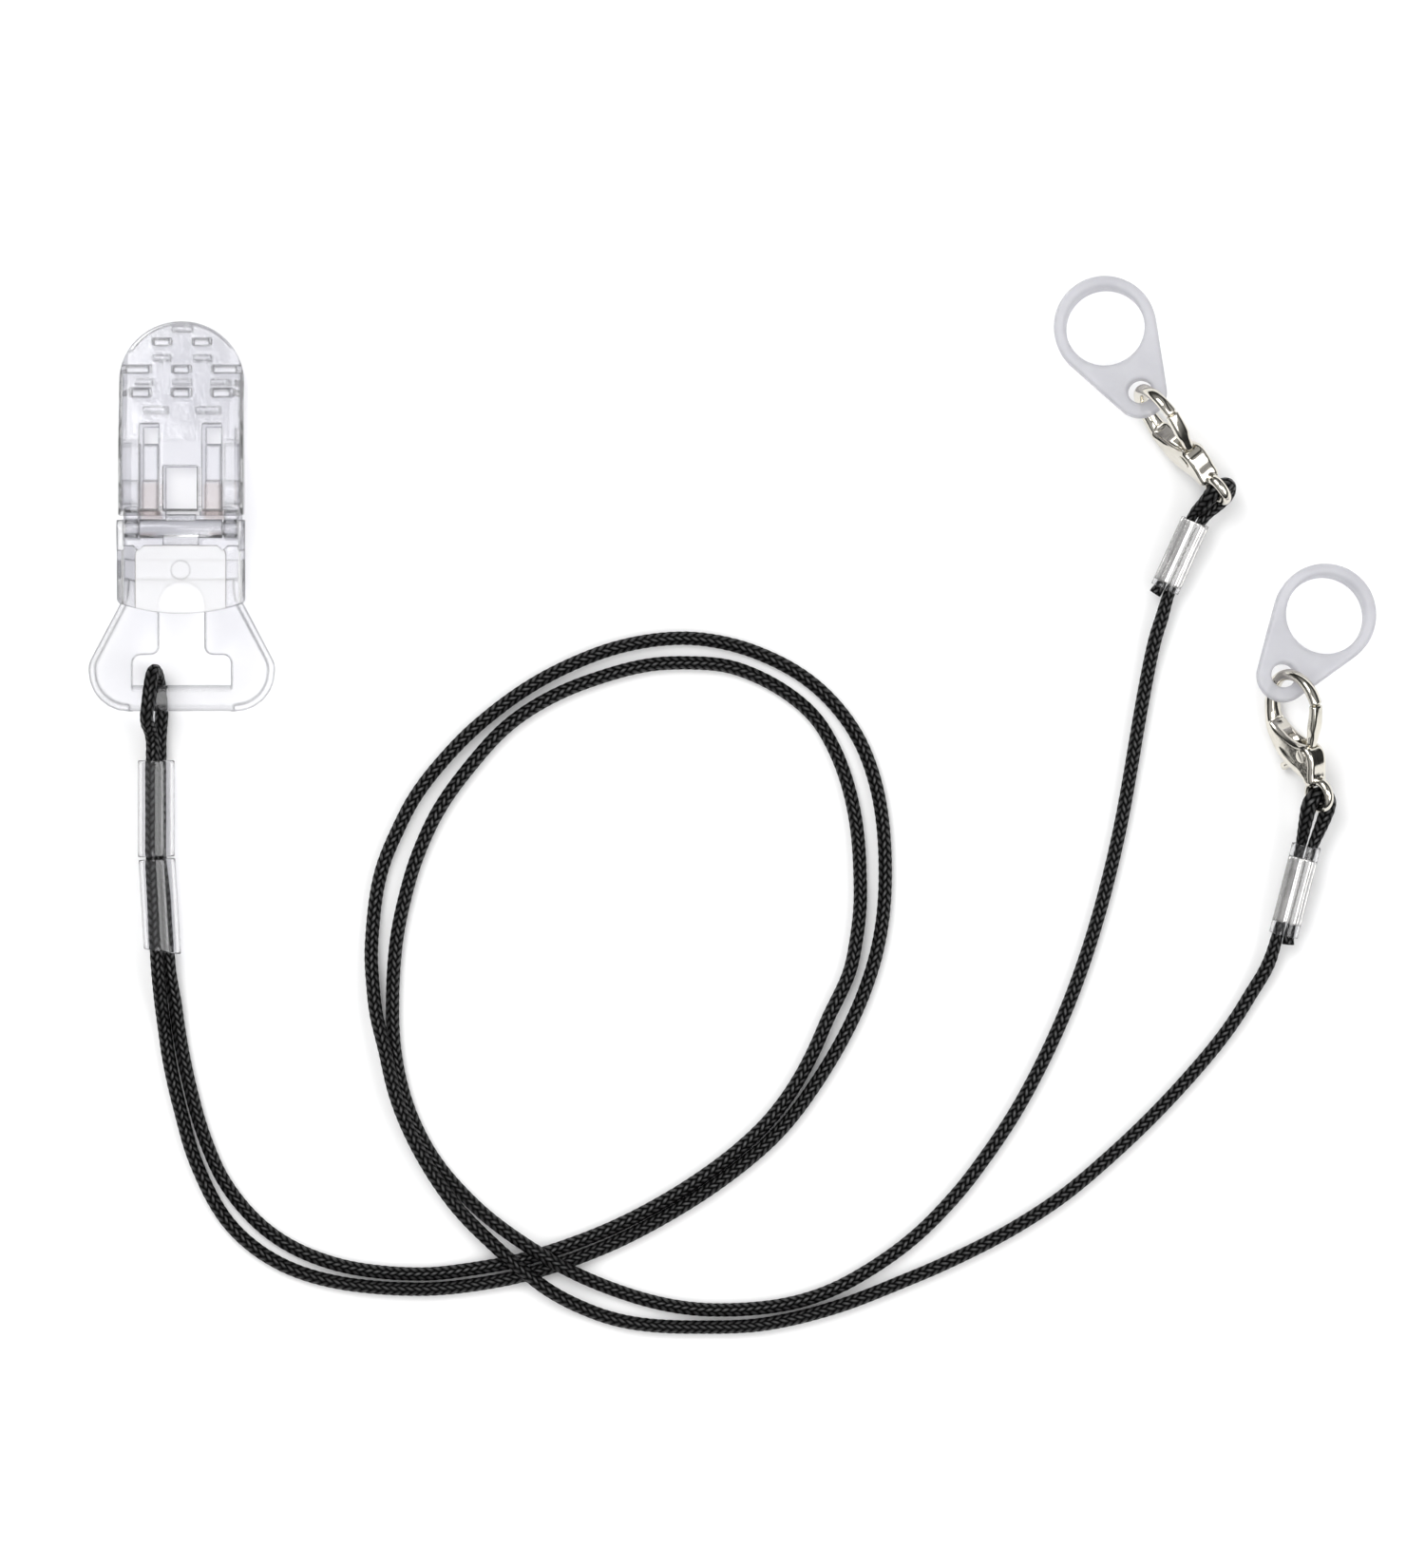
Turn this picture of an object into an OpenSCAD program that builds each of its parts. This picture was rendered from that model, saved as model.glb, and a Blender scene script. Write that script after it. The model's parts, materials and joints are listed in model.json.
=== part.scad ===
// Retaining cord for a pair of hearing aids: a cam clip for the collar, one braided cord
// folded over the clip's strap bar, two slide sleeves, and at each cord end a crimped
// ferrule in a clear sleeve, a lobster clasp and a soft ring.
// Millimetres, +Z up, Z = 0 is the table. The origin is on the base's flat underside, below
// the lever's pivot. The jaws point to +Y and the cord is laid out to +X. The modules below
// measure y from the strap bar, and from_base() moves them to the origin.

/* [Clip] */
// Width over the jaw
jaw_w = 13.2; // [12.6:0.1:14]
// Tip of the jaw, from the strap bar
jaw_tip_y = 39.6; // [38:0.1:42]
// Thickness of the jaw plate
jaw_t = 1.2; // [1:0.1:1.4]
// Slope of the jaw's front part, in degrees
jaw_slope = 15.2; // [12:0.1:16]
// Thickness of the base floor
floor_t = 1.4; // [1:0.1:1.6]
// Width over the strap loop
loop_w = 19.6; // [16:0.2:24]
// Thickness of the strap loop
loop_t = 2.2; // [1.8:0.1:2.4]
// Length of the lever, tail to pivot
lever_len = 8.95; // [8:0.05:10]
// Clearance of the clip's pins in their holes, on the radius
pin_gap = 0.05; // [0.03:0.01:0.1]

/* [Cord] */
// Radius of the cord
cord_r = 0.725; // [0.6:0.025:0.9]
// Radius of the cord where a ferrule grips it
pinch_r = 0.5; // [0.45:0.01:0.52]
// Radius of the cord where it swells in a clasp's eye
loop_r = 0.86; // [0.7:0.02:0.88]
// Sides of the cord's section
cord_sides = 8; // [6:1:10]
// Longest step along the cord
cord_step = 1.7; // [1.2:0.1:3]

/* [Sleeves] */
// Outer radius of the two slide sleeves
slide_r = 1.95; // [1.9:0.05:2.1]
// Inner radius of the two slide sleeves
slide_bore_r = 1.55; // [1.5:0.05:1.7]
// Outer radius of the sleeves on the cord ends
end_r = 1.55; // [1.5:0.05:1.8]
// Inner radius of the sleeves on the cord ends
end_bore_r = 1.3; // [1.28:0.01:1.4]
// Length of a ferrule
ferrule_len = 7.1; // [6:0.1:7.5]

/* [Clasps] */
// Centreline radius of the clasp's eye
eye_r = 1.45; // [1.4:0.05:1.6]
// Wire radius of the clasp's eye
eye_wire_r = 0.5; // [0.4:0.05:0.55]
// Radius of the gate's rivet
rivet_r = 0.5; // [0.4:0.05:0.55]

/* [Rings] */
// Radius of the ring's large hole, which grips the hearing aid
ring_bore_r = 4.15; // [3.5:0.05:4.4]
// Outer radius of the ring's large end
ring_r = 5.4; // [5:0.1:6]
// Radius of the hole that the hook passes through
ring_eye_r = 1.3; // [1.3:0.05:1.4]
// Outer radius of the ring's small end
ring_tab_r = 2.8; // [2.5:0.1:2.9]
// Distance between the ring's two holes
ring_pitch = 7.9; // [7.5:0.1:8]
// Thickness of the ring
ring_t = 1.8; // [1.4:0.1:2]
// Chamfer round both mouths of the ring's large hole
ring_mouth = 0.2; // [0.1:0.05:0.3]

/* [Hidden] */
$fn = 32;

clear = [0.86, 0.86, 0.90];
frosted = [0.93, 0.93, 0.95];
black = [0.07, 0.07, 0.08];
nickel = [0.80, 0.78, 0.73];
silver = [0.85, 0.84, 0.82];
silicone = [0.84, 0.84, 0.87];

jaw_half = jaw_w / 2;
jaw_top = 7;
jaw_under = jaw_top - jaw_t;
bend_y = 27;                      // where the jaw starts to slope down
jaw_pivot = [21.6, 4.4];          // [y, z] of each pivot
lever_pivot = [17.75, 5.2];
skirt_x = 6;                      // inner face of the jaw's side skirts
lug_x = [4.5, 5.9];               // inner and outer face of the base's lugs
loop_z = 1.9;
loop_top = loop_z + loop_t;
bar_y = -0.05;
bar_z = loop_z + loop_t / 2;
bar_half = 1.375;
slot_w = 10.4;
fold_r = [2.9, 2.275];            // centreline of the cord round the strap bar, along y and z

function unit(v) = v / norm(v);
function mirrored(half) =
    concat(half, [for (i = [len(half) - 1:-1:0]) [-half[i][0], half[i][1], half[i][2]]]);
// Corners [x, y, radius], anticlockwise, as an outline with each corner rounded
function rounded(corners, steps = 6) = [
    for (i = [0:len(corners) - 1])
        let (n = len(corners), c = corners[i], a = corners[(i + n - 1) % n], b = corners[(i + 1) % n],
             p = [c[0], c[1]], u = unit([a[0], a[1]] - p), v = unit([b[0], b[1]] - p), r = c[2],
             half = acos(max(-1, min(1, u * v))) / 2, o = p + unit(u + v) * r / sin(half),
             s = p + u * r / tan(half) - o, way = u[0] * v[1] - u[1] * v[0] < 0 ? 1 : -1)
        for (k = [0:r > 0 ? steps : 0])
            let (t = way * (180 - 2 * half) * k / steps)
                r > 0 ? o + [s[0] * cos(t) - s[1] * sin(t), s[0] * sin(t) + s[1] * cos(t)] : p];

// Extrudes a [y, z] outline from one x to another
module side(x0, x1) {
    multmatrix([[0, 0, 1, x0], [1, 0, 0, 0], [0, 1, 0, 0], [0, 0, 0, 1]])
        linear_extrude(x1 - x0) children();
}
module both_sides() {
    children();
    mirror([1, 0, 0]) children();
}
// A pin along X at a [y, z] pivot
module pin_x(p, r, x0, x1) {
    translate([x0, p[0], p[1]]) rotate([0, 90, 0]) cylinder(r = r, h = x1 - x0);
}
// A tooth that tapers from width w at z0 to 2/3 of it at z1
module tooth(x0, x1, y, z0, z1, w) {
    side(x0, x1)
        polygon(z1 > z0 ? [[y - w / 2, z0], [y + w / 2, z0], [y + w / 3, z1], [y - w / 3, z1]]
                        : [[y - w / 3, z1], [y + w / 3, z1], [y + w / 2, z0], [y - w / 2, z0]]);
}
module place(at, x, y, z) {
    multmatrix([[x[0], y[0], z[0], at[0]], [x[1], y[1], z[1], at[1]], [x[2], y[2], z[2], at[2]], [0, 0, 0, 1]])
        children();
}

// ---- Clip ----
function under_at(y) = jaw_under - max(0, y - bend_y) * tan(jaw_slope);
function top_at(y) = jaw_top - max(0, y - bend_y) * tan(jaw_slope);
// Teeth as [x0, x1, y, width], on one side of the clip's middle
jaw_teeth = [[0, 1, 34.5, 0.8], [0, 1.05, 32, 0.9], [1.1, 3.1, 37.4, 0.8],
             [3.2, 6, 34.5, 0.8], [3.15, 5.35, 32, 0.9]];
base_teeth = [[0, 1.05, 38.75, 0.7], [1.2, 3.1, 35.7, 0.7], [3.05, 4.9, 33.15, 0.7],
              [0, 0.95, 33.15, 0.7], [1.5, 4, 30.2, 0.8]];
grip_gap = 0.4;                   // between a base tooth and the jaw over it
jaw_tooth_z = 1.95;

module loop_outline(inset) {
    w = loop_w / 2 - inset;
    y0 = bar_y - bar_half - 0.025 + inset;
    polygon(rounded(mirrored([[w, y0, 4.2 - inset], [w, 3.6, 2.2], [6.1 - inset, 10.6, 2], [5.9 - inset, 14.5, 0]])));
}
module clip_loop() {
    rim = 0.7;
    difference() {
        union() {
            translate([0, 0, loop_z]) linear_extrude(loop_t - 0.45) loop_outline(0);
            translate([0, 0, loop_z + 0.5]) linear_extrude(loop_t - 0.5) loop_outline(rim);
        }
        translate([0, 0, loop_z - 1]) linear_extrude(loop_t + 2)
            polygon(rounded(mirrored([[slot_w / 2, -3, 0], [slot_w / 2, 4.5, 0.9], [2.4, 4.5, 0.9], [2.4, 12.1, 2.2]])));
    }
    side(-slot_w / 2 - 0.3, slot_w / 2 + 0.3) translate([bar_y, bar_z])
        polygon(rounded(mirrored([[bar_half, -loop_t / 2, 0.7], [bar_half, loop_t / 2, 0.7]]), 5));
}
module clip_lug() {
    side(lug_x[0], lug_x[1])
        polygon([[16.8, 0.7], [26.8, 0.7], [26.8, 3.1], [26.4, 3.5], [22.8, 3.5], [22.8, 4.4], [20.6, 4.4],
                 [18.7, 4.2], [18.7, 5.2], [16.8, 5.2]]);
    pin_x(lever_pivot, 1, lug_x[0], lug_x[1]);
    pin_x(jaw_pivot, 1.3, lug_x[0], lug_x[1]);
    pin_x(jaw_pivot, 1, lug_x[1] - 0.5, jaw_half);
}
module clip_base() {
    color(clear) {
        clip_loop();
        difference() {
            union() {
                linear_extrude(floor_t)
                    polygon(rounded(mirrored([[6.2, 12.5, 0.4], [6.4, jaw_tip_y - 0.2, 6.3]]), 14));
                translate([-5.9, 12.5, 0.5]) cube([11.8, 2, loop_top - 0.5]);
                both_sides() {
                    clip_lug();
                    side(2.5, 4.1) polygon([[19.5, 0.7], [26.6, 0.7], [26.6, 3.5], [22.8, 3.5], [22.8, 4.9], [19.5, 4.9]]);
                }
            }
            translate([-1.75, 19.8, -1]) cube([3.5, 4.5, 4]);
            both_sides() {
                translate([2.5, 26.8, -1]) cube([1.6, 1.7, 4]);
                pin_x(lever_pivot, 0.7 + pin_gap, lug_x[0] - 0.5, lug_x[1] + 0.5);
                translate([lug_x[0] - 0.5, lever_pivot[0] - 0.55, lever_pivot[1]]) cube([2.4, 1.1, 2]);
            }
        }
        both_sides() for (t = base_teeth) tooth(t[0], t[1], t[2], floor_t - 0.4, under_at(t[2]) - grip_gap, t[3]);
    }
}

module jaw_roof() {
    translate([0, 60, 0]) rotate([90, 0, 0]) linear_extrude(60)
        polygon(rounded(mirrored([[jaw_half, 0, 0], [jaw_half, jaw_top, 1.4]]), 5));
}
module clip_jaw() {
    lip = 0.3;
    color(clear) {
        difference() {
            intersection() {
                linear_extrude(9) polygon(rounded(mirrored([[jaw_half, 19.1, 0.3], [jaw_half, jaw_tip_y, jaw_half - 0.1]]), 14));
                side(-8, 8)
                    polygon([[19.1, 4], [20, 2.2], [25, 2.2], [29, under_at(29) - lip], [41, under_at(41) - lip],
                             [41, 9], [22, 9], [20, 7], [19.1, 6.1]]);
                jaw_roof();
                translate([0, bend_y, jaw_top]) rotate([-jaw_slope, 0, 0]) translate([0, -bend_y, -jaw_top]) jaw_roof();
            }
            side(-skirt_x, skirt_x)
                polygon([[18, -1], [45, -1], [45, under_at(45)], [bend_y, jaw_under], [18, jaw_under]]);
            translate([-1.75, 19.8, 0]) cube([3.5, 4.5, 9]);
            both_sides() {
                translate([2.3, 19.8, 0]) cube([2, 8.9, 9]);
                pin_x(jaw_pivot, 1 + pin_gap, skirt_x - 0.5, jaw_half + 0.5);
                for (t = jaw_teeth)
                    translate([max(t[0] + 0.2, 0) - (t[0] == 0 ? 0.3 : 0), t[2] - t[3] / 2, top_at(t[2]) - 0.5])
                        cube([t[1] - t[0] - (t[0] == 0 ? 0.1 : 0.4), t[3], 2]);
            }
        }
        both_sides() for (t = jaw_teeth) tooth(t[0], t[1], t[2], under_at(t[2]) + 0.35, jaw_tooth_z, t[3]);
    }
}

module clip_lever() {
    tail_y = lever_pivot[0] - lever_len;
    pad_front = 16;
    ear = [6.05, 6.75];
    cam = [19.2, 5.2];
    cam_r = 0.45;
    color(frosted) {
        difference() {
            intersection() {
                translate([0, pad_front, 0]) rotate([90, 0, 0]) linear_extrude(pad_front - 5)
                    polygon(rounded(mirrored([[4.6, 5.3, 0.3], [ear[0], 4.85, 0.2], [ear[0], 4.3, 0], [ear[1], 4.3, 0],
                                              [ear[1], 5.4, 0.3], [4.85, 6.15, 0.3]]), 4));
                linear_extrude(9)
                    polygon(rounded(mirrored(concat([for (x = [0.6:1.2:5.5]) [x, tail_y + x * x / 39.2, 0]],
                                                    [[ear[1], tail_y + 1.16, 0.7], [ear[1], pad_front, 0]]))));
            }
            translate([0, 13.4, 6.05]) cylinder(r = 1, h = 1);
            both_sides() translate([4.4, 15.45, 5]) rotate([0, 0, 45]) cube([2.2, 1, 3]);
        }
        side(-1.9, 1.9) polygon([[15.5, 5.3], [16.3, 4.7], [17.75, 4.7], [17.75, 6.05], [15.5, 6.05]]);
        pin_x(lever_pivot, 1, -4.35, 4.35);
        side(-1.6, 1.6) polygon([[17.75, 4.3], [19.2, 4.76], [19.2, 5.64], [17.75, 6.05]]);
        pin_x(cam, cam_r, -1.6, 1.6);
        both_sides() {
            pin_x(lever_pivot, 0.7, 4.2, 6.2);
            side(ear[0], ear[1]) polygon([[15.5, 4.3], [17.75, 4.3], [17.75, 6.05], [15.5, 5.7]]);
            pin_x(lever_pivot, 0.95, ear[0], ear[1]);
        }
    }
}

// ---- Cord ----
function heading(a, rise = 0) = [cos(a) * cos(rise), sin(a) * cos(rise), sin(rise)];
// Stations are [point, direction, radius]; a leg between two is close to an arc
function bend(a, b) = acos(max(-1, min(1, a[1] * b[1])));
function leg_steps(a, b, step) = max(1, ceil(norm(b[0] - a[0]) / step), ceil(bend(a, b) / 22));
function leg_point(a, b, u) =
    let (m = norm(b[0] - a[0]) / pow(cos(bend(a, b) / 4), 2), v = 1 - u)
    (1 + 2 * u) * v * v * a[0] + u * v * v * m * a[1] + u * u * (3 - 2 * u) * b[0] - u * u * v * m * b[1];
function through(s, step) = concat(
    [for (i = [0:len(s) - 2]) let (n = leg_steps(s[i], s[i + 1], step))
        for (k = [0:n - 1]) [leg_point(s[i], s[i + 1], k / n), s[i][2] + (s[i + 1][2] - s[i][2]) * k / n]],
    [[s[len(s) - 1][0], s[len(s) - 1][2]]]);
function back(s) = [for (i = [len(s) - 1:-1:0]) [s[i][0], -s[i][1], s[i][2]]];
// A closed tube through [point, radius] pairs. A radius can be [across, along hint] for an oval.
module tube(path, sides, hint) {
    n = len(path);
    dir = [for (i = [0:n - 1]) unit(path[min(i + 1, n - 1)][0] - path[max(i - 1, 0)][0])];
    up = [for (i = 0, u = unit(hint - (hint * dir[0]) * dir[0]); i < n;
               i = i + 1, u = i < n ? unit(u - (u * dir[i]) * dir[i]) : u) u];
    points = [for (i = [0:n - 1], k = [0:sides - 1])
        let (a = 360 * (k + 0.5) / sides, r = path[i][1], w = is_list(r) ? r : [r, r])
            path[i][0] + w[0] * cos(a) * cross(up[i], dir[i]) + w[1] * sin(a) * up[i]];
    faces = concat([[for (k = [0:sides - 1]) k]], [[for (k = [sides - 1:-1:0]) (n - 1) * sides + k]],
        [for (i = [0:n - 2], k = [0:sides - 1], half = [0, 1])
            let (a = i * sides + k, b = i * sides + (k + 1) % sides)
                half == 0 ? [a, a + sides, b + sides] : [a, b + sides, b]]);
    polyhedron(points, faces);
}

// Slide sleeves, as [top, bottom] of each axis
upper_axis = [[-2.77, -6.6, 1.95], [-2.77, -16.75, 1.95]];
lower_axis = [[-2.7, -17, 1.95], [-2.1, -27.2, 1.95]];
function lay(list, z_list = []) = [for (s = list) [[s[0], s[1], s[2]], heading(s[3], len(s) > 4 ? s[4] : 0), cord_r]];

// The fold over the strap bar, from the strand under it to the strand over it
fold = [for (k = [0:4]) let (a = 262 + 57 * k, slant = -0.149)
    [[-2.3 - 1.35 * k / 4, bar_y + fold_r[0] * cos(a), bar_z + fold_r[1] * sin(a)],
     unit([slant * fold_r[1], -fold_r[0] * sin(a), fold_r[1] * cos(a)]), cord_r]];
// Both strands from the clip to the clasps: [x, y, z, heading, rise]
strand_a = lay([
    [-2.42, -4.6, 1.31, -90], [-2.42, -16.2, 1.31, -90], [-1.94, -21, 1.38, -86], [-1.37, -29, 1.5, -84],
    [-0.82, -32.3, 1.03, -82], [-0.4, -35.4, 0.725, -81], [1.33, -43.45, 0.725, -75], [3.2, -48.8, 0.725, -67],
    [7.2, -54.7, 0.725, -46], [13.1, -58.7, 0.725, -23], [19.25, -60.4, 0.725, -8], [25.5, -60.8, 0.725, 1],
    [31.6, -60.1, 0.725, 8.5], [37.5, -58.8, 0.725, 17], [47.65, -54.8, 0.725, 27], [53.4, -51.5, 0.725, 33],
    [60.9, -45.6, 0.725, 45], [67.7, -34.7, 0.725, 68], [70.7, -27.6, 0.725, 79], [71.5, -20.3, 0.725, 91],
    [71.1, -13.6, 0.725, 98], [67.6, -3.3, 0.725, 122], [63.9, 0.4, 0.725, 145], [58.75, 3, 0.725, 161],
    [52.1, 3.7, 0.725, 180], [45.4, 2.6, 0.725, 197], [39.5, 0.4, 0.725, 206], [34.3, -2.9, 0.725, 220],
    [29.9, -7.7, 0.725, 231], [26.2, -13.3, 0.725, 244], [23.8, -19.6, 0.725, 255], [22.5, -25.8, 0.725, 263],
    [22.1, -33, 0.725, 270], [22.8, -39.9, 0.725, 282], [26.3, -48.4, 0.725, 303], [30.6, -53.4, 1.0, 316, 7],
    [35.8, -57.4, 2.24, 326], [39.2, -59.5, 2.24, 330], [46.5, -62.8, 0.8, 341], [56.5, -64.6, 0.725, 0],
    [64.1, -63.9, 0.725, 12], [70.5, -61.5, 0.725, 29], [79.4, -54.85, 0.725, 46], [83.2, -50.5, 0.725, 53],
    [88.8, -42.1, 0.725, 61], [93.9, -31.2, 0.725, 69], [98.4, -16.1, 0.725, 77], [101.7, 1.9, 0.9, 79],
    [103.25, 8.3, 1.4, 70]]);
strand_b = lay([
    [-3.13, -4.6, 2.6, -90], [-3.13, -16.2, 2.6, -90], [-2.96, -21, 2.53, -87], [-2.56, -29, 2.46, -85],
    [-2.27, -32.3, 1.64, -84, -9], [-1.9, -35.4, 0.725, -83], [-0.3, -43.45, 0.725, -75], [1.27, -48.8, 0.725, -68],
    [5.6, -56.3, 0.725, -46], [12.3, -60.6, 0.725, -20], [19.25, -62.1, 0.725, -6], [25.5, -62.4, 0.725, 1],
    [31.6, -61.8, 0.725, 9], [37.5, -60.5, 0.725, 17], [45.35, -57.6, 0.725, 24], [49.9, -55.3, 0.725, 29],
    [57.7, -50.3, 0.725, 37], [62.3, -46.4, 0.725, 45], [66.4, -41.3, 0.725, 56], [71.3, -32.55, 0.725, 67],
    [73.6, -25, 0.725, 80], [74.1, -16.6, 0.725, 92], [73.4, -10.3, 0.725, 102], [71.7, -5.1, 0.725, 115],
    [68.4, -0.3, 0.725, 133], [63.2, 3.6, 0.725, 153], [57.6, 5.7, 0.725, 167], [52.8, 6.3, 0.725, 180],
    [48.4, 5.9, 0.725, 190], [42.8, 4.3, 0.725, 202], [36.6, 1.2, 0.725, 212], [31, -3, 0.725, 221],
    [26.6, -7.6, 0.725, 230], [23.2, -12.8, 0.725, 245], [20.9, -18.4, 0.725, 255], [19.9, -25.8, 0.8, 266],
    [20.2, -31.9, 1.35, 275], [21.2, -36.6, 1.9, 284], [22.4, -41.7, 2, 287], [25.5, -48.7, 2, 300],
    [29.1, -53.9, 2.24, 310], [33.4, -58.2, 2.24, 317], [37.3, -61.5, 2.24, 322], [43.5, -64.9, 0.9, 339],
    [53.8, -66.4, 0.725, 0], [61.6, -66.05, 0.725, 9], [69.2, -64.2, 0.725, 18], [76.9, -61.2, 0.725, 22],
    [84.5, -57.7, 0.725, 27], [92, -53.2, 0.725, 35], [98.4, -47.9, 0.725, 42], [108.2, -37.7, 0.725, 50],
    [112.5, -31.6, 0.9, 60], [114.65, -27.8, 1.35, 69]]);

// ---- Cord ends: the sleeve's lower end, heading, rise and length, and where the ferrule starts ----
end_a = [[103.6, 11.5, 1.75], 65.7, 5.5, 7.8, 0.6];
end_b = [[116.1, -25, 1.75], 75.7, 4.6, 9.8, 1.3];
function end_dir(e) = heading(e[1], e[2]);
function end_side(e) = [sin(e[1]), -cos(e[1]), 0];
lobe = 0.56;                      // from the ferrule's middle to each of its two bores
// A station by a cord end: distance up the sleeve, to which side, how far out, and radius
function by_end(e, s, way, off, r) = [e[0] + end_dir(e) * s + end_side(e) * way * off, end_dir(e), r];

// ---- Clasps: eye centre, yaw and roll. Local x runs from eye to hook, y to the gate ----
clasp_a = [[109, 21.95, 4.3], 127.9, 76];
clasp_b = [[119.75, -10.2, 3.8], 106.5, 52];
function clasp_x(c) = heading(c[1]);
function clasp_y(c) = [sin(c[1]) * cos(c[2]), -cos(c[1]) * cos(c[2]), sin(c[2])];
function clasp_z(c) = cross(clasp_x(c), clasp_y(c));
module at_clasp(c) { place(c[0], clasp_x(c), clasp_y(c), clasp_z(c)) children(); }

// The cord through a clasp's eye, from the strand side of the ferrule to its tail
function through_eye(e, c, way) =
    let (mouth = e[0] + end_dir(e) * e[3], n = clasp_z(c), f = unit(mouth - c[0]),
         r = unit(f - (f * n) * n), q = unit(n - (n * f) * f), o = c[0] + eye_r * r,
         g = q * end_side(e) > 0 ? way : -way, top = e[4] + ferrule_len)
    concat([by_end(e, -0.1, way, 0.6, 0.62), by_end(e, e[4], way, lobe, pinch_r), by_end(e, top, way, lobe, pinch_r)],
           [for (a = [0:45:180]) [o + eye_r * (cos(a) * g * q - sin(a) * f), unit(-sin(a) * g * q - cos(a) * f), loop_r]],
           [for (s = [[top, lobe, pinch_r], [e[4], lobe, pinch_r], [-0.1, 0.62, 0.6], [-0.9, 0.74, 0.66]])
               let (k = by_end(e, s[0], -way, s[1], s[2])) [k[0], -k[1], k[2]]]);
module cord() {
    color(black)
        tube(through(concat(back(concat(strand_a, through_eye(end_a, clasp_a, 1))), fold,
                            strand_b, through_eye(end_b, clasp_b, -1)), cord_step), cord_sides, [0, 0.2, 1]);
}

module sleeve(from, to, outer, inner) {
    d = to - from;
    z = unit(d);
    x = unit(cross([0, 0, 1], z));
    place(from, x, cross(z, x), z) difference() {
        cylinder(r = outer, h = norm(d));
        translate([0, 0, -1]) cylinder(r = inner, h = norm(d) + 2);
    }
}
module cord_sleeve_upper() { color(clear) sleeve(upper_axis[0], upper_axis[1], slide_r, slide_bore_r); }
module cord_sleeve_lower() {
    color(clear) difference() {
        sleeve(lower_axis[0], lower_axis[1], slide_r, slide_bore_r);
        translate([-2.1, -27.2, 1.95]) rotate([0, 0, -14]) translate([-4, -3, -4]) cube([8, 3.45, 8]);
    }
}

module ferrule(e) {
    d = end_dir(e);
    x = end_side(e);
    color(silver) place(e[0] + d * e[4], x, cross(d, x), d) difference() {
        union() {
            for (s = [-1, 1]) translate([s * lobe, 0, 0]) cylinder(r = 0.7, h = ferrule_len);
            translate([-lobe, -0.5, 0]) cube([2 * lobe, 1, ferrule_len]);
        }
        for (s = [-1, 1]) translate([s * lobe, 0, -1]) cylinder(r = pinch_r + 0.02, h = ferrule_len + 2);
    }
}
module ferrule_a() { ferrule(end_a); }
module ferrule_b() { ferrule(end_b); }
module end_sleeve_a() { color(clear) sleeve(end_a[0], end_a[0] + end_dir(end_a) * end_a[3], end_r, end_bore_r); }
module end_sleeve_b() { color(clear) sleeve(end_b[0], end_b[0] + end_dir(end_b) * end_b[3], end_r, end_bore_r); }

gate_pivot = [4.4, 0.3];
slot_half = 0.62;                 // half the gap between the body's two cheeks
cheek = 1.25;                     // half the body's thickness at the rivet
// The body from eye to nose: [x, y, heading, half width, half thickness]
claw = [[1.5, 0, -10, 0.75, 0.7], [3.2, -0.75, -38, 1.15, 1.2], [5.2, -2.35, -34, 1.1, 1.25],
        [7.6, -3.35, -10, 0.9, 1.1], [10.4, -3.05, 22, 0.7, 0.85], [12.45, -1.7, 52, 0.6, 0.7],
        [13.1, 0.2, 92, 0.58, 0.6], [12.4, 2.15, 126, 0.56, 0.6], [11, 3.25, 155, 0.58, 0.64],
        [9.35, 3.6, 178, 0.52, 0.66]];
arm_reach = 5.6;                  // from the gate's pivot to just short of the hook's nose
// The body's two cheeks, from the eye to the mouth, as [x, y, corner radius]
cheek_outline = [[1.4, -0.4, 0.2], [3.2, -1.2, 0.8], [5.2, -2.7, 0.8], [7.4, -3.5, 0.4], [8.4, -3.3, 0.2],
                 [8.3, -2.6, 0.3], [6.3, -0.8, 1.2], [5, 1.2, 0.7], [3.6, 1.7, 0.8], [1.9, 0.75, 0.4]];
cheek_plate = 1.1;                // half the cheeks' thickness away from the rivet
function flat(list) = [for (s = list) [[s[0], s[1], 0], heading(s[2]), [s[3], s[4]]]];
module gate_room() {
    translate([gate_pivot[0], gate_pivot[1], -slot_half]) linear_extrude(2 * slot_half) {
        circle(r = 1.5);
        polygon(concat([[0, 0]], [for (a = [-34:14:50]) arm_reach * [cos(a), sin(a)]]));
        polygon(concat([[-0.9, 0.2]], [for (a = [222:9:276]) 7 * [cos(a), sin(a)]], [[0.9, 0.2]]));
    }
}
module clasp_body(c) {
    color(nickel) at_clasp(c) difference() {
        union() {
            rotate_extrude() translate([eye_r, 0]) circle(r = eye_wire_r);
            tube(through(flat(claw), 0.75), 12, [0, 0, 1]);
            translate([0, 0, -cheek_plate]) linear_extrude(2 * cheek_plate) polygon(rounded(cheek_outline));
            translate([gate_pivot[0], gate_pivot[1], -cheek]) cylinder(r = 1.2, h = 2 * cheek);
        }
        gate_room();
        translate([gate_pivot[0], gate_pivot[1], -3]) cylinder(r = rivet_r, h = 6);
    }
}
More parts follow.
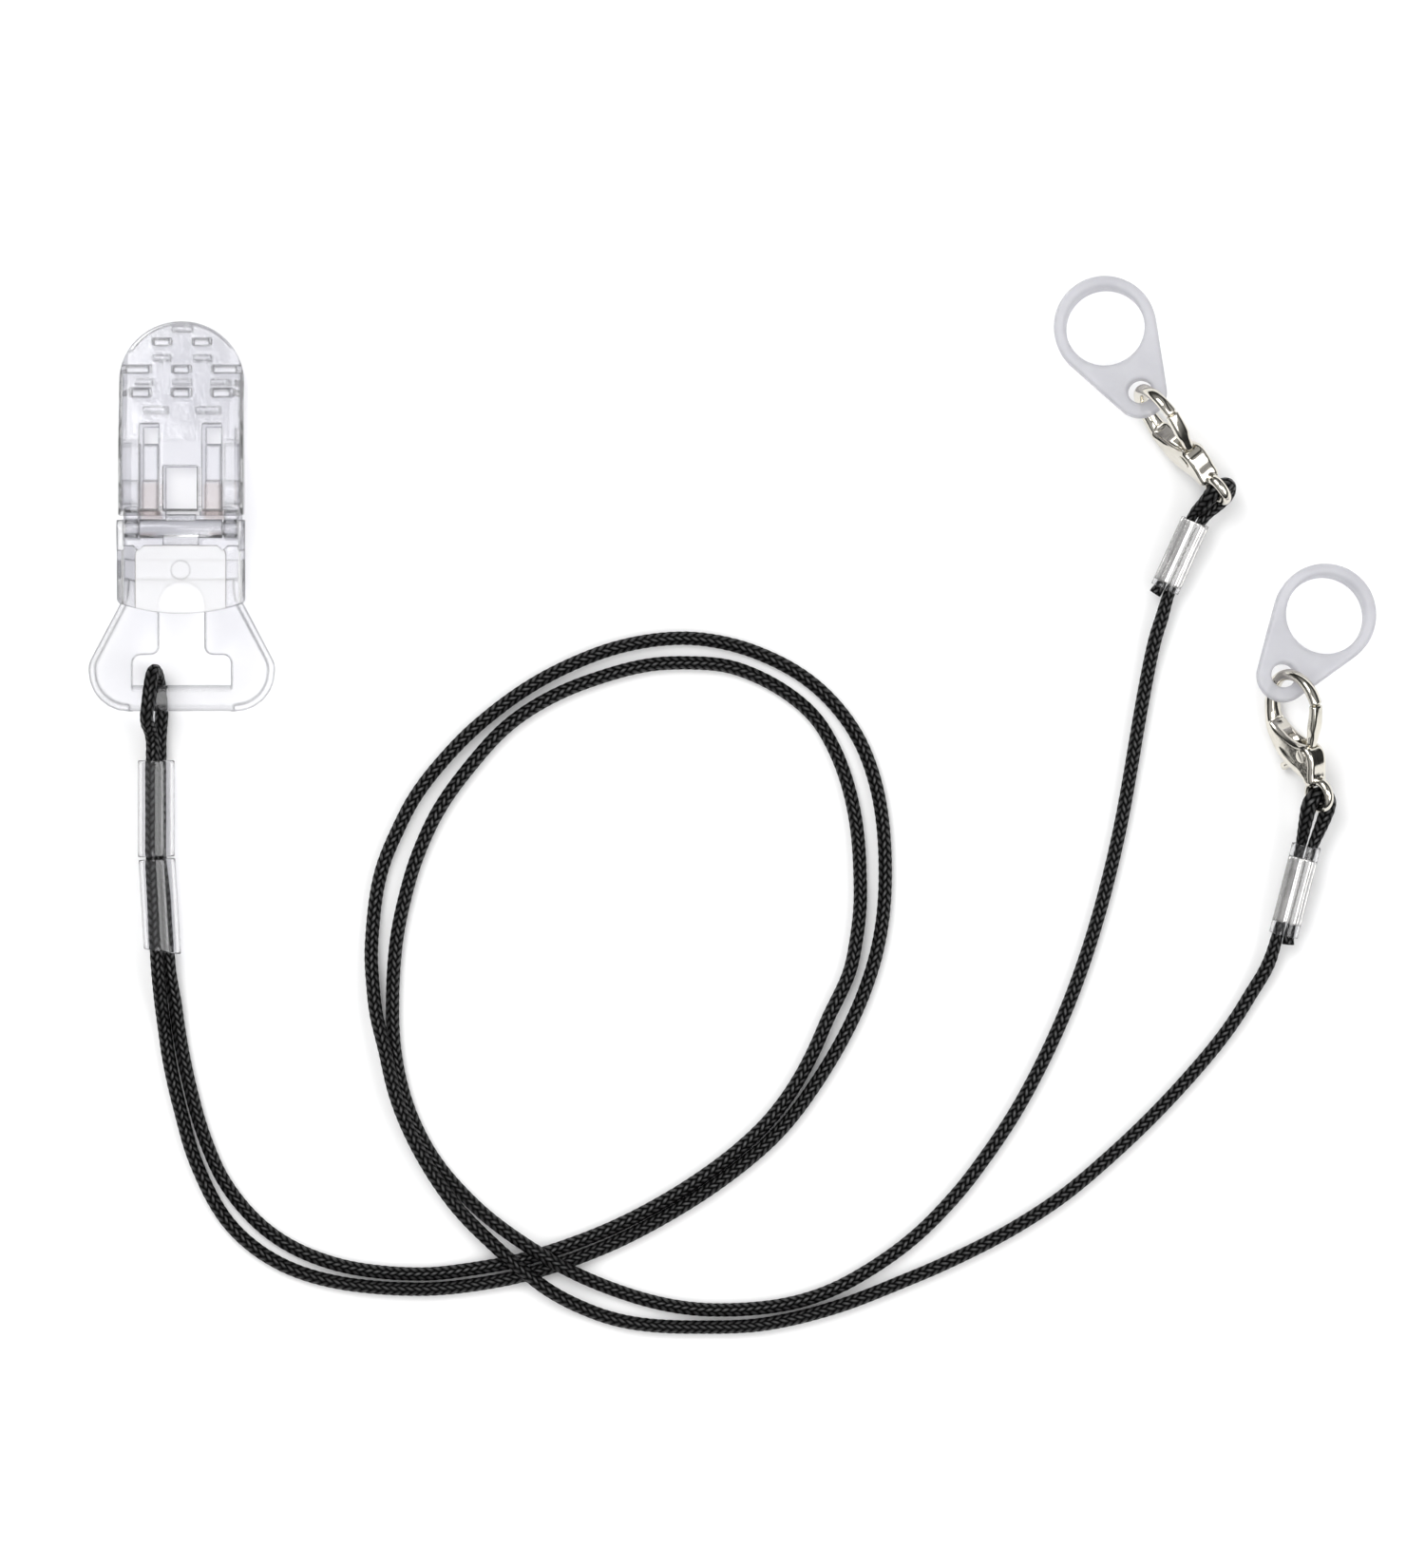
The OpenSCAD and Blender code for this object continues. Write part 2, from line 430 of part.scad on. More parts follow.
module clasp_gate(c) {
    hub_t = 0.5;
    color(nickel) at_clasp(c) difference() {
        union() {
            translate([gate_pivot[0], gate_pivot[1], -slot_half + 0.05]) cylinder(r = 1.05, h = hub_t);
            tube(through(flat([[5.15, 0.95, 38, 0.45, 0.5], [6, 1.6, 38, 0.5, 0.52], [7, 2.35, 35, 0.52, 0.75],
                               [8.85, 3.4, 24, 0.48, 0.68]]), 0.7),
                 12, [0, 0, 1]);
            tube(through(flat([[4.3, -0.45, 268, 0.4, 0.4], [4.1, -2.4, 264, 0.38, 0.5], [3.9, -4, 262, 0.42, 0.5]]), 0.7),
                 12, [0, 0, 1]);
        }
        translate([gate_pivot[0], gate_pivot[1], -3]) cylinder(r = rivet_r + pin_gap, h = 6);
        translate([gate_pivot[0], gate_pivot[1], -slot_half + 0.05 + hub_t]) cylinder(r = 0.95, h = 1);
    }
}
module clasp_rivet(c) {
    color(nickel) at_clasp(c) translate([gate_pivot[0], gate_pivot[1], 0]) {
        translate([0, 0, -cheek - 0.1]) cylinder(r = rivet_r, h = 2 * cheek + 0.2);
        for (s = [0, 1]) mirror([0, 0, s]) translate([0, 0, cheek + 0.02]) cylinder(r1 = 0.8, r2 = 0.6, h = 0.15);
    }
}
module clasp_spring(c) {
    wire = 0.1;
    turns = 2;
    color(nickel) at_clasp(c) translate([gate_pivot[0], gate_pivot[1], 0])
        tube([for (a = [0:20:360 * turns]) [[0.74 * cos(a), 0.74 * sin(a), 0.06 + 0.21 * a / 360], wire]],
             6, [0, 0, 1]);
}
module clasp_a_body() { clasp_body(clasp_a); }
module clasp_a_gate() { clasp_gate(clasp_a); }
module clasp_a_rivet() { clasp_rivet(clasp_a); }
module clasp_a_spring() { clasp_spring(clasp_a); }
module clasp_b_body() { clasp_body(clasp_b); }
module clasp_b_gate() { clasp_gate(clasp_b); }
module clasp_b_rivet() { clasp_rivet(clasp_b); }
module clasp_b_spring() { clasp_spring(clasp_b); }

// ---- Rings: hook hole, heading towards the large hole, and fall ----
hang_a = [[100.92, 32.16, 4.15], 118, 14];
hang_b = [[115.95, 2.3, 3.85], 55, 12.5];
module ring(h) {
    v = heading(h[1], -h[2]);
    x = [sin(h[1]), -cos(h[1]), 0];
    a = acos((ring_r - ring_tab_r) / ring_pitch);
    color(silicone) place(h[0], x, v, cross(x, v)) difference() {
        translate([0, 0, -ring_t / 2]) linear_extrude(ring_t)
            polygon(concat([for (k = [0:40]) let (t = -90 + a + (360 - 2 * a) * k / 40) [0, ring_pitch] + ring_r * [cos(t), sin(t)]],
                           [for (k = [0:16]) let (t = 270 - a + 2 * a * k / 16) ring_tab_r * [cos(t), sin(t)]]));
        translate([0, 0, -3]) cylinder(r = ring_eye_r, h = 6);
        translate([0, ring_pitch, -3]) cylinder(r = ring_bore_r, h = 6);
        for (s = [0, 1]) mirror([0, 0, s]) translate([0, ring_pitch, ring_t / 2 - ring_mouth])
            cylinder(r1 = ring_bore_r, r2 = ring_bore_r + 2 * ring_mouth, h = 2 * ring_mouth);
    }
}
module ring_a() { ring(hang_a); }
module ring_b() { ring(hang_b); }

module from_base() { translate([0, -lever_pivot[0], 0]) children(); }

from_base() clip_base();
from_base() clip_jaw();
from_base() clip_lever();
from_base() cord();
from_base() cord_sleeve_upper();
from_base() cord_sleeve_lower();
from_base() ferrule_a();
from_base() ferrule_b();
from_base() end_sleeve_a();
from_base() end_sleeve_b();
from_base() clasp_a_body();
from_base() clasp_a_gate();
from_base() clasp_a_rivet();
from_base() clasp_a_spring();
from_base() clasp_b_body();
from_base() clasp_b_gate();
from_base() clasp_b_rivet();
from_base() clasp_b_spring();
from_base() ring_a();
from_base() ring_b();
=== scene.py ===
"""Looks of the hearing aid retaining cord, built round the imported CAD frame.

Lengths are in metres, or in mm where a comment or a function says so.
"""

import json
import math

import bpy
import numpy as np
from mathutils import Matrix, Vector


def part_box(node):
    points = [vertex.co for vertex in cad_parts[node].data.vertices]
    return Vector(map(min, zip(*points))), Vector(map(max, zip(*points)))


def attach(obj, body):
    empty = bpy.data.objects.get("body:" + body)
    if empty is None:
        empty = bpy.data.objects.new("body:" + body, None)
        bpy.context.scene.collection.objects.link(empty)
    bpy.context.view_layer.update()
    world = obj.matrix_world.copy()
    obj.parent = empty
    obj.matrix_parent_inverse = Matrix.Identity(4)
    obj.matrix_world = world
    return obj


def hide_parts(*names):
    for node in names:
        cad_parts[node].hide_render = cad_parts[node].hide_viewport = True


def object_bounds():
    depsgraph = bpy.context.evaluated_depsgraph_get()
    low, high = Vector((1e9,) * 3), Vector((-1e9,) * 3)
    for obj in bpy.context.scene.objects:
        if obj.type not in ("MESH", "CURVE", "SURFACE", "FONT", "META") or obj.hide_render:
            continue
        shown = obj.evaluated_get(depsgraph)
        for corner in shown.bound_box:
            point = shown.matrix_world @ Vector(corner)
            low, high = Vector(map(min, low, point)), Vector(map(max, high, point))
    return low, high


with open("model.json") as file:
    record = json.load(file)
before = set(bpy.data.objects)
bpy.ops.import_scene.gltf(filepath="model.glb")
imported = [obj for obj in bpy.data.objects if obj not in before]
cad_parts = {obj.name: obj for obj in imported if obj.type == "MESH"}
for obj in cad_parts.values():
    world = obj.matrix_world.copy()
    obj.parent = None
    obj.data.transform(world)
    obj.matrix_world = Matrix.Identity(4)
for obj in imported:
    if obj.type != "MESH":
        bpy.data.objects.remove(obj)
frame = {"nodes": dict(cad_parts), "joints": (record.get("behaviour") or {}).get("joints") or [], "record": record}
cad_low, cad_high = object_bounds()

MM = 0.001
UP = np.array([0.0, 0.0, 1.0])
JOINTS = {j["name"]: j for j in frame["joints"]}
MOUNTS = {m["name"]: m for m in frame["record"]["mounts"]}
scene = bpy.context.scene


# ---------------------------------------------------------------- numbers and meshes
def unit(v):
    return v / np.linalg.norm(v, axis=-1, keepdims=True)


def points_of(mesh):
    co = np.zeros(len(mesh.vertices) * 3)
    mesh.vertices.foreach_get("co", co)
    return co.reshape(-1, 3)


def node_points(name):
    return points_of(frame["nodes"][name].data)


def evaluated_mesh(obj):
    """The object's mesh with its modifiers applied; the object itself is removed."""
    graph = bpy.context.evaluated_depsgraph_get()
    mesh = bpy.data.meshes.new_from_object(obj.evaluated_get(graph))
    bpy.data.objects.remove(obj)
    return mesh


def new_object(name, mesh, body, material, replaced):
    """A piece of the object: rides on its body, shown in place of one CAD node."""
    obj = bpy.data.objects.new(name, mesh)
    scene.collection.objects.link(obj)
    mesh.materials.clear()
    mesh.materials.append(material)
    mesh.polygons.foreach_set("use_smooth", [True] * len(mesh.polygons))
    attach(obj, body)
    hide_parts(replaced)


def make_mesh(name, verts, faces):
    mesh = bpy.data.meshes.new(name)
    mesh.from_pydata([tuple(v) for v in np.asarray(verts)], [], [tuple(f) for f in faces])
    mesh.validate()
    return mesh


def grid_faces(rows, cols, wrap_cols=True, wrap_rows=False):
    """Quads over a grid of rows x cols vertices."""
    faces = []
    for i in range(rows if wrap_rows else rows - 1):
        a, b = i * cols, (i + 1) % rows * cols
        for k in range(cols if wrap_cols else cols - 1):
            n = (k + 1) % cols
            faces.append((a + k, a + n, b + n, b + k))
    return faces


def end_caps(rows, cols):
    """Two many-sided faces that close the ends of a grid of rows x cols vertices."""
    return [tuple(range(cols - 1, -1, -1)), tuple((rows - 1) * cols + k for k in range(cols))]


def spline(knots, at, values):
    """Catmull-Rom through values at the knots, sampled at the given places."""
    values = np.asarray(values, float)
    slope = np.gradient(values, knots, axis=0)
    i = np.clip(np.searchsorted(knots, at, side="right") - 1, 0, len(knots) - 2)
    h = knots[i + 1] - knots[i]
    u = (at - knots[i]) / h
    if values.ndim > 1:
        h, u = h[:, None], u[:, None]
    return (
        (1 + 2 * u) * (1 - u) ** 2 * values[i]
        + u * (1 - u) ** 2 * h * slope[i]
        + u * u * (3 - 2 * u) * values[i + 1]
        - u * u * (1 - u) * h * slope[i + 1]
    )


def frames_along(points, hint):
    """Tangents and two normals that don't twist, along a dense line of points."""
    tangent = unit(np.gradient(points, axis=0))
    across = np.empty_like(points)
    u = hint - (hint @ tangent[0]) * tangent[0]
    for i, t in enumerate(tangent):
        u = u - (u @ t) * t
        u /= np.linalg.norm(u)
        across[i] = u
    return tangent, across, np.cross(tangent, across)


def spokes(angles, across, other):
    """Unit vectors round each point of a line, one for each angle."""
    return np.cos(angles)[None, :, None] * across[:, None] + np.sin(angles)[None, :, None] * other[:, None]


def lathe(name, start, axis, profile, sides=56, slant=0.0, slant_way=None):
    """A closed profile of (distance along, radius) pairs turned round an axis."""
    axis = unit(np.asarray(axis, float))
    side = unit(np.cross(axis, UP if abs(axis[2]) < 0.9 else np.array([1.0, 0, 0])))
    other = np.cross(axis, side)
    length = max(p[0] for p in profile)
    angles = np.arange(sides) * 2 * math.pi / sides
    verts = []
    for along, radius in profile:
        ring = start + radius * (np.outer(np.cos(angles), side) + np.outer(np.sin(angles), other))
        shift = 0.0
        if slant_way is not None:
            shift = slant * ((ring - start) @ slant_way) * max(0.0, along / length - 0.5) * 2
        verts.append(ring + np.outer(along + shift * np.ones(sides), axis))
    return make_mesh(name, np.concatenate(verts), grid_faces(len(profile), sides, True, True))


def tube_profile(length, outer, inner, lip=0.12 * MM):
    """Section of a tube wall with softened ends, as a closed loop."""
    quarter = [(lip * (1 - math.cos(a)), lip * math.sin(a)) for a in np.linspace(0, math.pi / 2, 5)]
    loop = [(x, outer - lip + y) for x, y in quarter]
    loop += [(length - x, outer - lip + y) for x, y in reversed(quarter)]
    loop += [(length - x, inner + lip - y) for x, y in quarter]
    loop += [(x, inner + lip - y) for x, y in reversed(quarter)]
    steps = []
    for (a, ra), (b, rb) in zip(loop, loop[1:] + loop[:1]):
        steps.append((a, ra))
        if abs(a - b) > 4 * lip:
            steps += [(a + (b - a) * k / 12, ra + (rb - ra) * k / 12) for k in range(1, 12)]
    return steps


# ---------------------------------------------------------------- materials
class Nodes:
    """The node tree of a material or world, whose nodes are joined by naming a node and its output."""

    def __init__(self, owner, output="ShaderNodeOutputMaterial"):
        self.owner = owner
        owner.use_nodes = True
        self.tree = owner.node_tree
        self.tree.nodes.clear()
        self.out = self.add(output)

    def add(self, kind, inputs=None, **settings):
        """A new node, with a value or a link for each named input."""
        node = self.tree.nodes.new(kind)
        for key, value in settings.items():
            setattr(node, key, value)
        self.put(node, inputs or {})
        return node

    def put(self, node, inputs):
        for key, value in inputs.items():
            if isinstance(value, tuple) and isinstance(value[0], bpy.types.Node):
                self.tree.links.new(value[0].outputs[value[1]], node.inputs[key])
            else:
                node.inputs[key].default_value = value

    def math(self, operation, a, b=0.0, c=0.0):
        return (self.add("ShaderNodeMath", {0: a, 1: b, 2: c}, operation=operation), 0)

    def product(self, first, *others):
        for value in others:
            first = self.math("MULTIPLY", first, value)
        return first

    def within(self, value, low, high):
        """1 where a value is between two limits, else 0."""
        return self.product(self.math("GREATER_THAN", value, low), self.math("LESS_THAN", value, high))

    def ramp(self, source, stops):
        """A colour ramp through (place, colour) stops."""
        node = self.add("ShaderNodeValToRGB", {0: source})
        ramp = node.color_ramp
        while len(ramp.elements) < len(stops):
            ramp.elements.new(0.5)
        for element, (place, colour) in zip(ramp.elements, stops):
            element.position, element.color = place, colour
        return (node, 0)

    def mix(self, share, first, second, blend="MIX"):
        """Two colours mixed by a share of the second."""
        node = self.add("ShaderNodeMix", data_type="RGBA", blend_type=blend)
        self.put(node, {0: share, 6: first, 7: second})
        return (node, 2)

    def finish(self, shader):
        """Joins the last shader to the output, and returns the material or world."""
        self.tree.links.new(shader[0].outputs[shader[1]], self.out.inputs["Surface"])
        return self.owner


def grey(v, a=1.0):
    return (v, v, v, a)


def clear_plastic(name, tint, rough=0.06, bump=0.06, ior=1.49, edge=0.4, soft=0.32 * MM, extra=None):
    """Clear moulded plastic: painted shade at its rounded edges and where it is seen edge-on, with flow ripples
    and light shadows.

    edge is the tint's share in the painted shade at an edge, soft is how far an edge reaches, and extra names a
    local change.
    """
    s = Nodes(bpy.data.materials.new(name))
    place = s.add("ShaderNodeTexCoord")
    ripple = s.add("ShaderNodeTexNoise", {"Vector": (place, "Object"), "Scale": 420.0, "Detail": 3.0})
    mark = s.add("ShaderNodeTexNoise", {"Vector": (place, "Object"), "Scale": 2600.0, "Detail": 2.0})
    height = s.math("MULTIPLY_ADD", (mark, "Fac"), 0.25, (ripple, "Fac"))
    rounded = s.add("ShaderNodeBevel", {"Radius": soft}, samples=6)
    relief = {"Strength": bump, "Distance": 0.3 * MM, "Height": height, "Normal": (rounded, "Normal")}
    lump = s.add("ShaderNodeBump", relief)
    roughness = s.ramp((mark, "Fac"), [(0.35, grey(rough * 0.6)), (0.7, grey(rough * 1.6))])
    surface = s.add("ShaderNodeNewGeometry")
    # Painted shade: the tint darkens where the rounded normal turns from the face and where the face is seen
    # edge-on, standing in for dark refraction edges.
    both = {0: (rounded, "Normal"), 1: (surface, "Normal")}
    turn = s.add("ShaderNodeVectorMath", both, operation="DOT_PRODUCT")
    bend = s.math("SUBTRACT", 1.0, (turn, "Value"))
    slope = s.add("ShaderNodeLayerWeight", {"Blend": 0.5})
    lean = s.math("MULTIPLY", (slope, "Facing"), 0.2)
    shade = tuple(c * edge for c in tint[:3]) + (1.0,)
    dark = tuple(c * 0.75 for c in shade[:3]) + (1.0,)
    painted_edge_tint = s.ramp(s.math("MAXIMUM", bend, lean), [(0.012, tint), (0.13, shade), (0.4, dark)])
    # Painted warm tint on the spring arms, standing in for refracted colour.
    if extra == "warm":
        painted_edge_tint = painted_warm_refraction(s, place, painted_edge_tint)
    body = s.add(
        "ShaderNodeBsdfPrincipled",
        {"Base Color": painted_edge_tint, "IOR": ior, "Transmission Weight": 1.0, "Roughness": roughness,
         "Normal": (lump, 0), "Specular IOR Level": 0.5},
    )
    result = (body, 0)
    if extra == "frosted":
        result = frosted_pad(s, place, result, bend)
    ray = s.add("ShaderNodeLightPath")
    passing = s.add("ShaderNodeBsdfTransparent", {"Color": (0.88, 0.88, 0.90, 1)})
    through = s.add("ShaderNodeMixShader", {0: (ray, "Is Shadow Ray"), 1: result, 2: (passing, 0)})
    return s.finish((through, 0))


def metal(name, base, rough, dark, scratch=900.0):
    """Plated metal: warm, polished, with fine scratches, waviness and dulled patches."""
    s = Nodes(bpy.data.materials.new(name))
    place = s.add("ShaderNodeTexCoord")
    wave = s.add("ShaderNodeTexNoise", {"Vector": (place, "Object"), "Scale": scratch * 0.5, "Detail": 2.0})
    fine = s.add("ShaderNodeTexNoise", {"Vector": (place, "Object"), "Scale": scratch * 6, "Detail": 4.0})
    lump = s.add("ShaderNodeBump", {"Strength": 0.12, "Distance": 0.2 * MM, "Height": (wave, "Fac")})
    relief = {"Strength": 0.04, "Distance": 0.04 * MM, "Height": (fine, "Fac"), "Normal": (lump, 0)}
    grain = s.add("ShaderNodeBump", relief)
    roughness = s.ramp((fine, "Fac"), [(0.3, grey(rough * 0.6)), (0.75, grey(rough * 1.7))])
    worn = tuple(c * dark for c in base[:3]) + (1.0,)
    colour = s.ramp((wave, "Fac"), [(0.25, worn), (0.5, base), (1.0, base)])
    body = s.add(
        "ShaderNodeBsdfPrincipled",
        {"Base Color": colour, "Metallic": 1.0, "Roughness": roughness, "Normal": (grain, 0)},
    )
    return s.finish((body, 0))


def braid_material(name):
    """Black nylon: strands of two hands passing two over and two under, with fibres along each; painted shade in
    the grooves.
    """
    s = Nodes(bpy.data.materials.new(name))
    uv = s.add("ShaderNodeSeparateXYZ", {0: (s.add("ShaderNodeUVMap", uv_map="strand"), 0)})
    a, b = s.math("ADD", (uv, "X"), (uv, "Y")), s.math("SUBTRACT", (uv, "X"), (uv, "Y"))
    fa, fb = s.math("FRACT", a), s.math("FRACT", b)
    phase = s.math("FLOORED_MODULO", s.math("ADD", s.math("FLOOR", a), s.math("FLOOR", b)), 4.0)
    right = s.math("LESS_THAN", phase, 1.5)
    left = s.math("SUBTRACT", 1.0, right)
    width = s.math("ADD", s.product(right, fa), s.product(left, fb))
    other = s.math("ADD", s.product(right, fb), s.product(left, fa))
    length = s.math("DIVIDE", s.math("SUBTRACT", s.math("ADD", other, phase), s.product(left, 2.0)), 2.0)
    off = s.math("ABSOLUTE", s.math("SUBTRACT", s.product(width, 2.0), 1.0))
    arch = s.math("SQRT", s.math("SUBTRACT", 1.0, s.product(s.math("POWER", off, 2.0), 0.96)))
    dive = s.math("POWER", s.math("SINE", s.product(length, math.pi)), 0.6)
    crown = s.product(arch, s.math("ADD", s.product(dive, 0.7), 0.3))
    stretched = {"X": s.product(width, 9.0), "Y": s.product(length, 1.5), "Z": phase}
    along = s.add("ShaderNodeCombineXYZ", stretched)
    fibre = s.add("ShaderNodeTexNoise", {"Vector": (along, 0), "Scale": 1.0, "Detail": 2.0})
    # Painted shade in the grooves between strands: the colour falls to near black and the specular level to
    # nothing there.
    colour = s.ramp(crown, [(0.3, grey(0.0006)), (0.75, grey(0.004)), (1.0, (0.016, 0.0155, 0.0165, 1))])
    groove_shaded_shine = s.ramp(crown, [(0.35, grey(0.0)), (0.7, grey(0.16)), (0.98, grey(0.6))])
    rough = s.ramp((fibre, "Fac"), [(0.3, grey(0.3)), (0.7, grey(0.5))])
    relief = s.math("ADD", crown, s.product((fibre, "Fac"), 0.12))
    lump = s.add("ShaderNodeBump", {"Strength": 0.8, "Distance": 0.12 * MM, "Height": relief})
    body = s.add(
        "ShaderNodeBsdfPrincipled",
        {"Base Color": colour, "Roughness": rough, "Normal": (lump, 0), "Specular IOR Level": groove_shaded_shine},
    )
    return s.finish((body, 0))


def silicone_material(name):
    """Translucent milky silicone with faint clouds and a satin skin."""
    s = Nodes(bpy.data.materials.new(name))
    place = s.add("ShaderNodeTexCoord")
    cloud = s.add("ShaderNodeTexNoise", {"Vector": (place, "Object"), "Scale": 260.0, "Detail": 3.0})
    skin = s.add("ShaderNodeTexNoise", {"Vector": (place, "Object"), "Scale": 3000.0, "Detail": 2.0})
    lump = s.add("ShaderNodeBump", {"Strength": 0.06, "Distance": 0.2 * MM, "Height": (skin, "Fac")})
    colour = s.ramp((cloud, "Fac"), [(0.3, (0.48, 0.48, 0.50, 1)), (0.7, (0.54, 0.54, 0.56, 1))])
    rough = s.ramp((skin, "Fac"), [(0.3, grey(0.32)), (0.7, grey(0.5))])
    body = s.add(
        "ShaderNodeBsdfPrincipled",
        {"Base Color": colour, "Roughness": rough, "Normal": (lump, 0), "IOR": 1.41,
         "Subsurface Weight": 0.6, "Subsurface Radius": (1.6 * MM, 1.6 * MM, 1.8 * MM),
         "Subsurface Scale": 1.0},
    )
    passing = s.add("ShaderNodeBsdfTransparent", {"Color": (0.9, 0.9, 0.93, 1)})
    mix = s.add("ShaderNodeMixShader", {0: 0.35, 1: (body, 0), 2: (passing, 0)})
    ray = s.add("ShaderNodeLightPath")
    light = s.add("ShaderNodeBsdfTransparent", {"Color": (0.93, 0.93, 0.94, 1)})
    through = s.add("ShaderNodeMixShader", {0: (ray, "Is Shadow Ray"), 1: (mix, 0), 2: (light, 0)})
    return s.finish((through, 0))


def painted_warm_refraction(s, place, colour, sides=(2.2 * MM, 4.4 * MM), ends=(1.0 * MM, 4.8 * MM)):
    """Painted warm tint, standing in for colour refracted through the plastic, on the lower halves of the spring
    arms, either side of the middle.
    """
    axis = s.add("ShaderNodeSeparateXYZ", {0: (place, "Object")})
    across = s.within(s.math("ABSOLUTE", (axis, "X")), *sides)
    along = s.within((axis, "Y"), *ends)
    cloud = s.add("ShaderNodeTexNoise", {"Vector": (place, "Object"), "Scale": 900.0, "Detail": 3.0})
    share = s.product(across, along, s.math("ADD", (cloud, "Fac"), 0.35))
    return s.mix(share, colour, (0.86, 0.80, 0.77, 1), "MULTIPLY")


def frosted_pad(s, place, clear, bend, length=7.16 * MM, border=2.0 * MM, corner=1.1 * MM, line=0.07 * MM):
    """Milky sanded thumb pad on the lever's flat top, with round corners and a fine dark rim.

    It is length long from the lever's tail, and leaves a clear border at each side.
    """
    low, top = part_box("clip_lever")
    axis = s.add("ShaderNodeSeparateXYZ", {0: (place, "Object")})
    beyond_x = s.math("SUBTRACT", s.math("ABSOLUTE", (axis, "X")), top.x - border - corner)
    beyond_y = s.math("SUBTRACT", (axis, "Y"), low.y + length - corner)
    past_x, past_y = s.math("MAXIMUM", beyond_x, 0.0), s.math("MAXIMUM", beyond_y, 0.0)
    away = s.math("SQRT", s.math("ADD", s.math("POWER", past_x, 2.0), s.math("POWER", past_y, 2.0)))
    within = s.math("MINIMUM", s.math("MAXIMUM", beyond_x, beyond_y), 0.0)
    gap = s.math("SUBTRACT", s.math("ADD", away, within), corner)
    flat = s.math("GREATER_THAN", (axis, "Z"), top.z - 0.2 * MM)
    mask = s.product(s.math("LESS_THAN", gap, 0.0), flat)
    rim = s.product(s.math("LESS_THAN", s.math("ABSOLUTE", gap), line), flat)
    grain = s.add("ShaderNodeTexNoise", {"Vector": (place, "Object"), "Scale": 5000.0, "Detail": 2.0})
    lump = s.add("ShaderNodeBump", {"Strength": 0.3, "Distance": 0.05 * MM, "Height": (grain, "Fac")})
    # Painted shade: the milky pad darkens towards its rounded edges.
    painted_pad_edge_shade = s.ramp(bend, [(0.01, (0.78, 0.78, 0.785, 1)), (0.1, grey(0.62)), (0.4, grey(0.5))])
    milk = {"Base Color": painted_pad_edge_shade, "Roughness": 0.55, "Normal": (lump, 0)}
    white = s.add("ShaderNodeBsdfPrincipled", milk)
    mixed = s.add("ShaderNodeMixShader", {0: s.product(mask, 0.55), 1: clear, 2: (white, 0)})
    dark = s.add("ShaderNodeBsdfPrincipled", {"Base Color": (0.16, 0.14, 0.13, 1), "Roughness": 0.5})
    edged = s.add("ShaderNodeMixShader", {0: s.product(rim, 0.5), 1: (mixed, 0), 2: (dark, 0)})
    return (edged, 0)


BASE = clear_plastic("base_clear", (0.775, 0.775, 0.79, 1), edge=0.3, soft=0.45 * MM, extra="warm")
JAW = clear_plastic("jaw_clear", (0.965, 0.965, 0.968, 1), edge=0.26, extra="warm")
LEVER = clear_plastic("lever_clear", (0.85, 0.85, 0.858, 1), edge=0.3, extra="frosted")
SLEEVE = clear_plastic("sleeve_clear", (0.955, 0.955, 0.97, 1), 0.04, 0.05, 1.5, edge=0.62, soft=0.12 * MM)
FERRULE = metal("ferrule_silver", (0.66, 0.65, 0.62, 1), 0.16, 0.75)
NICKEL = metal("clasp_nickel", (0.70, 0.67, 0.60, 1), 0.10, 0.8)
CORD = braid_material("cord_black")
SILICONE = silicone_material("ring_silicone")


# ---------------------------------------------------------------- clip
def dress(name, material, width=0.14 * MM):
    """A CAD node that stays: softened edges and its own material."""
    obj = frame["nodes"][name]
    obj.data.materials.clear()
    obj.data.materials.append(material)
    weld = obj.modifiers.new("weld", "WELD")
    weld.merge_threshold = 0.002 * MM
    flat = obj.modifiers.new("flat", "DECIMATE")
    flat.decimate_type, flat.angle_limit = "DISSOLVE", math.radians(1)
    bevel = obj.modifiers.new("edges", "BEVEL")
    bevel.width, bevel.segments, bevel.limit_method = width, 3, "ANGLE"
    bevel.angle_limit, bevel.harden_normals, bevel.use_clamp_overlap = math.radians(35), True, True


dress("clip_base", BASE)
dress("clip_jaw", JAW)
dress("clip_lever", LEVER)


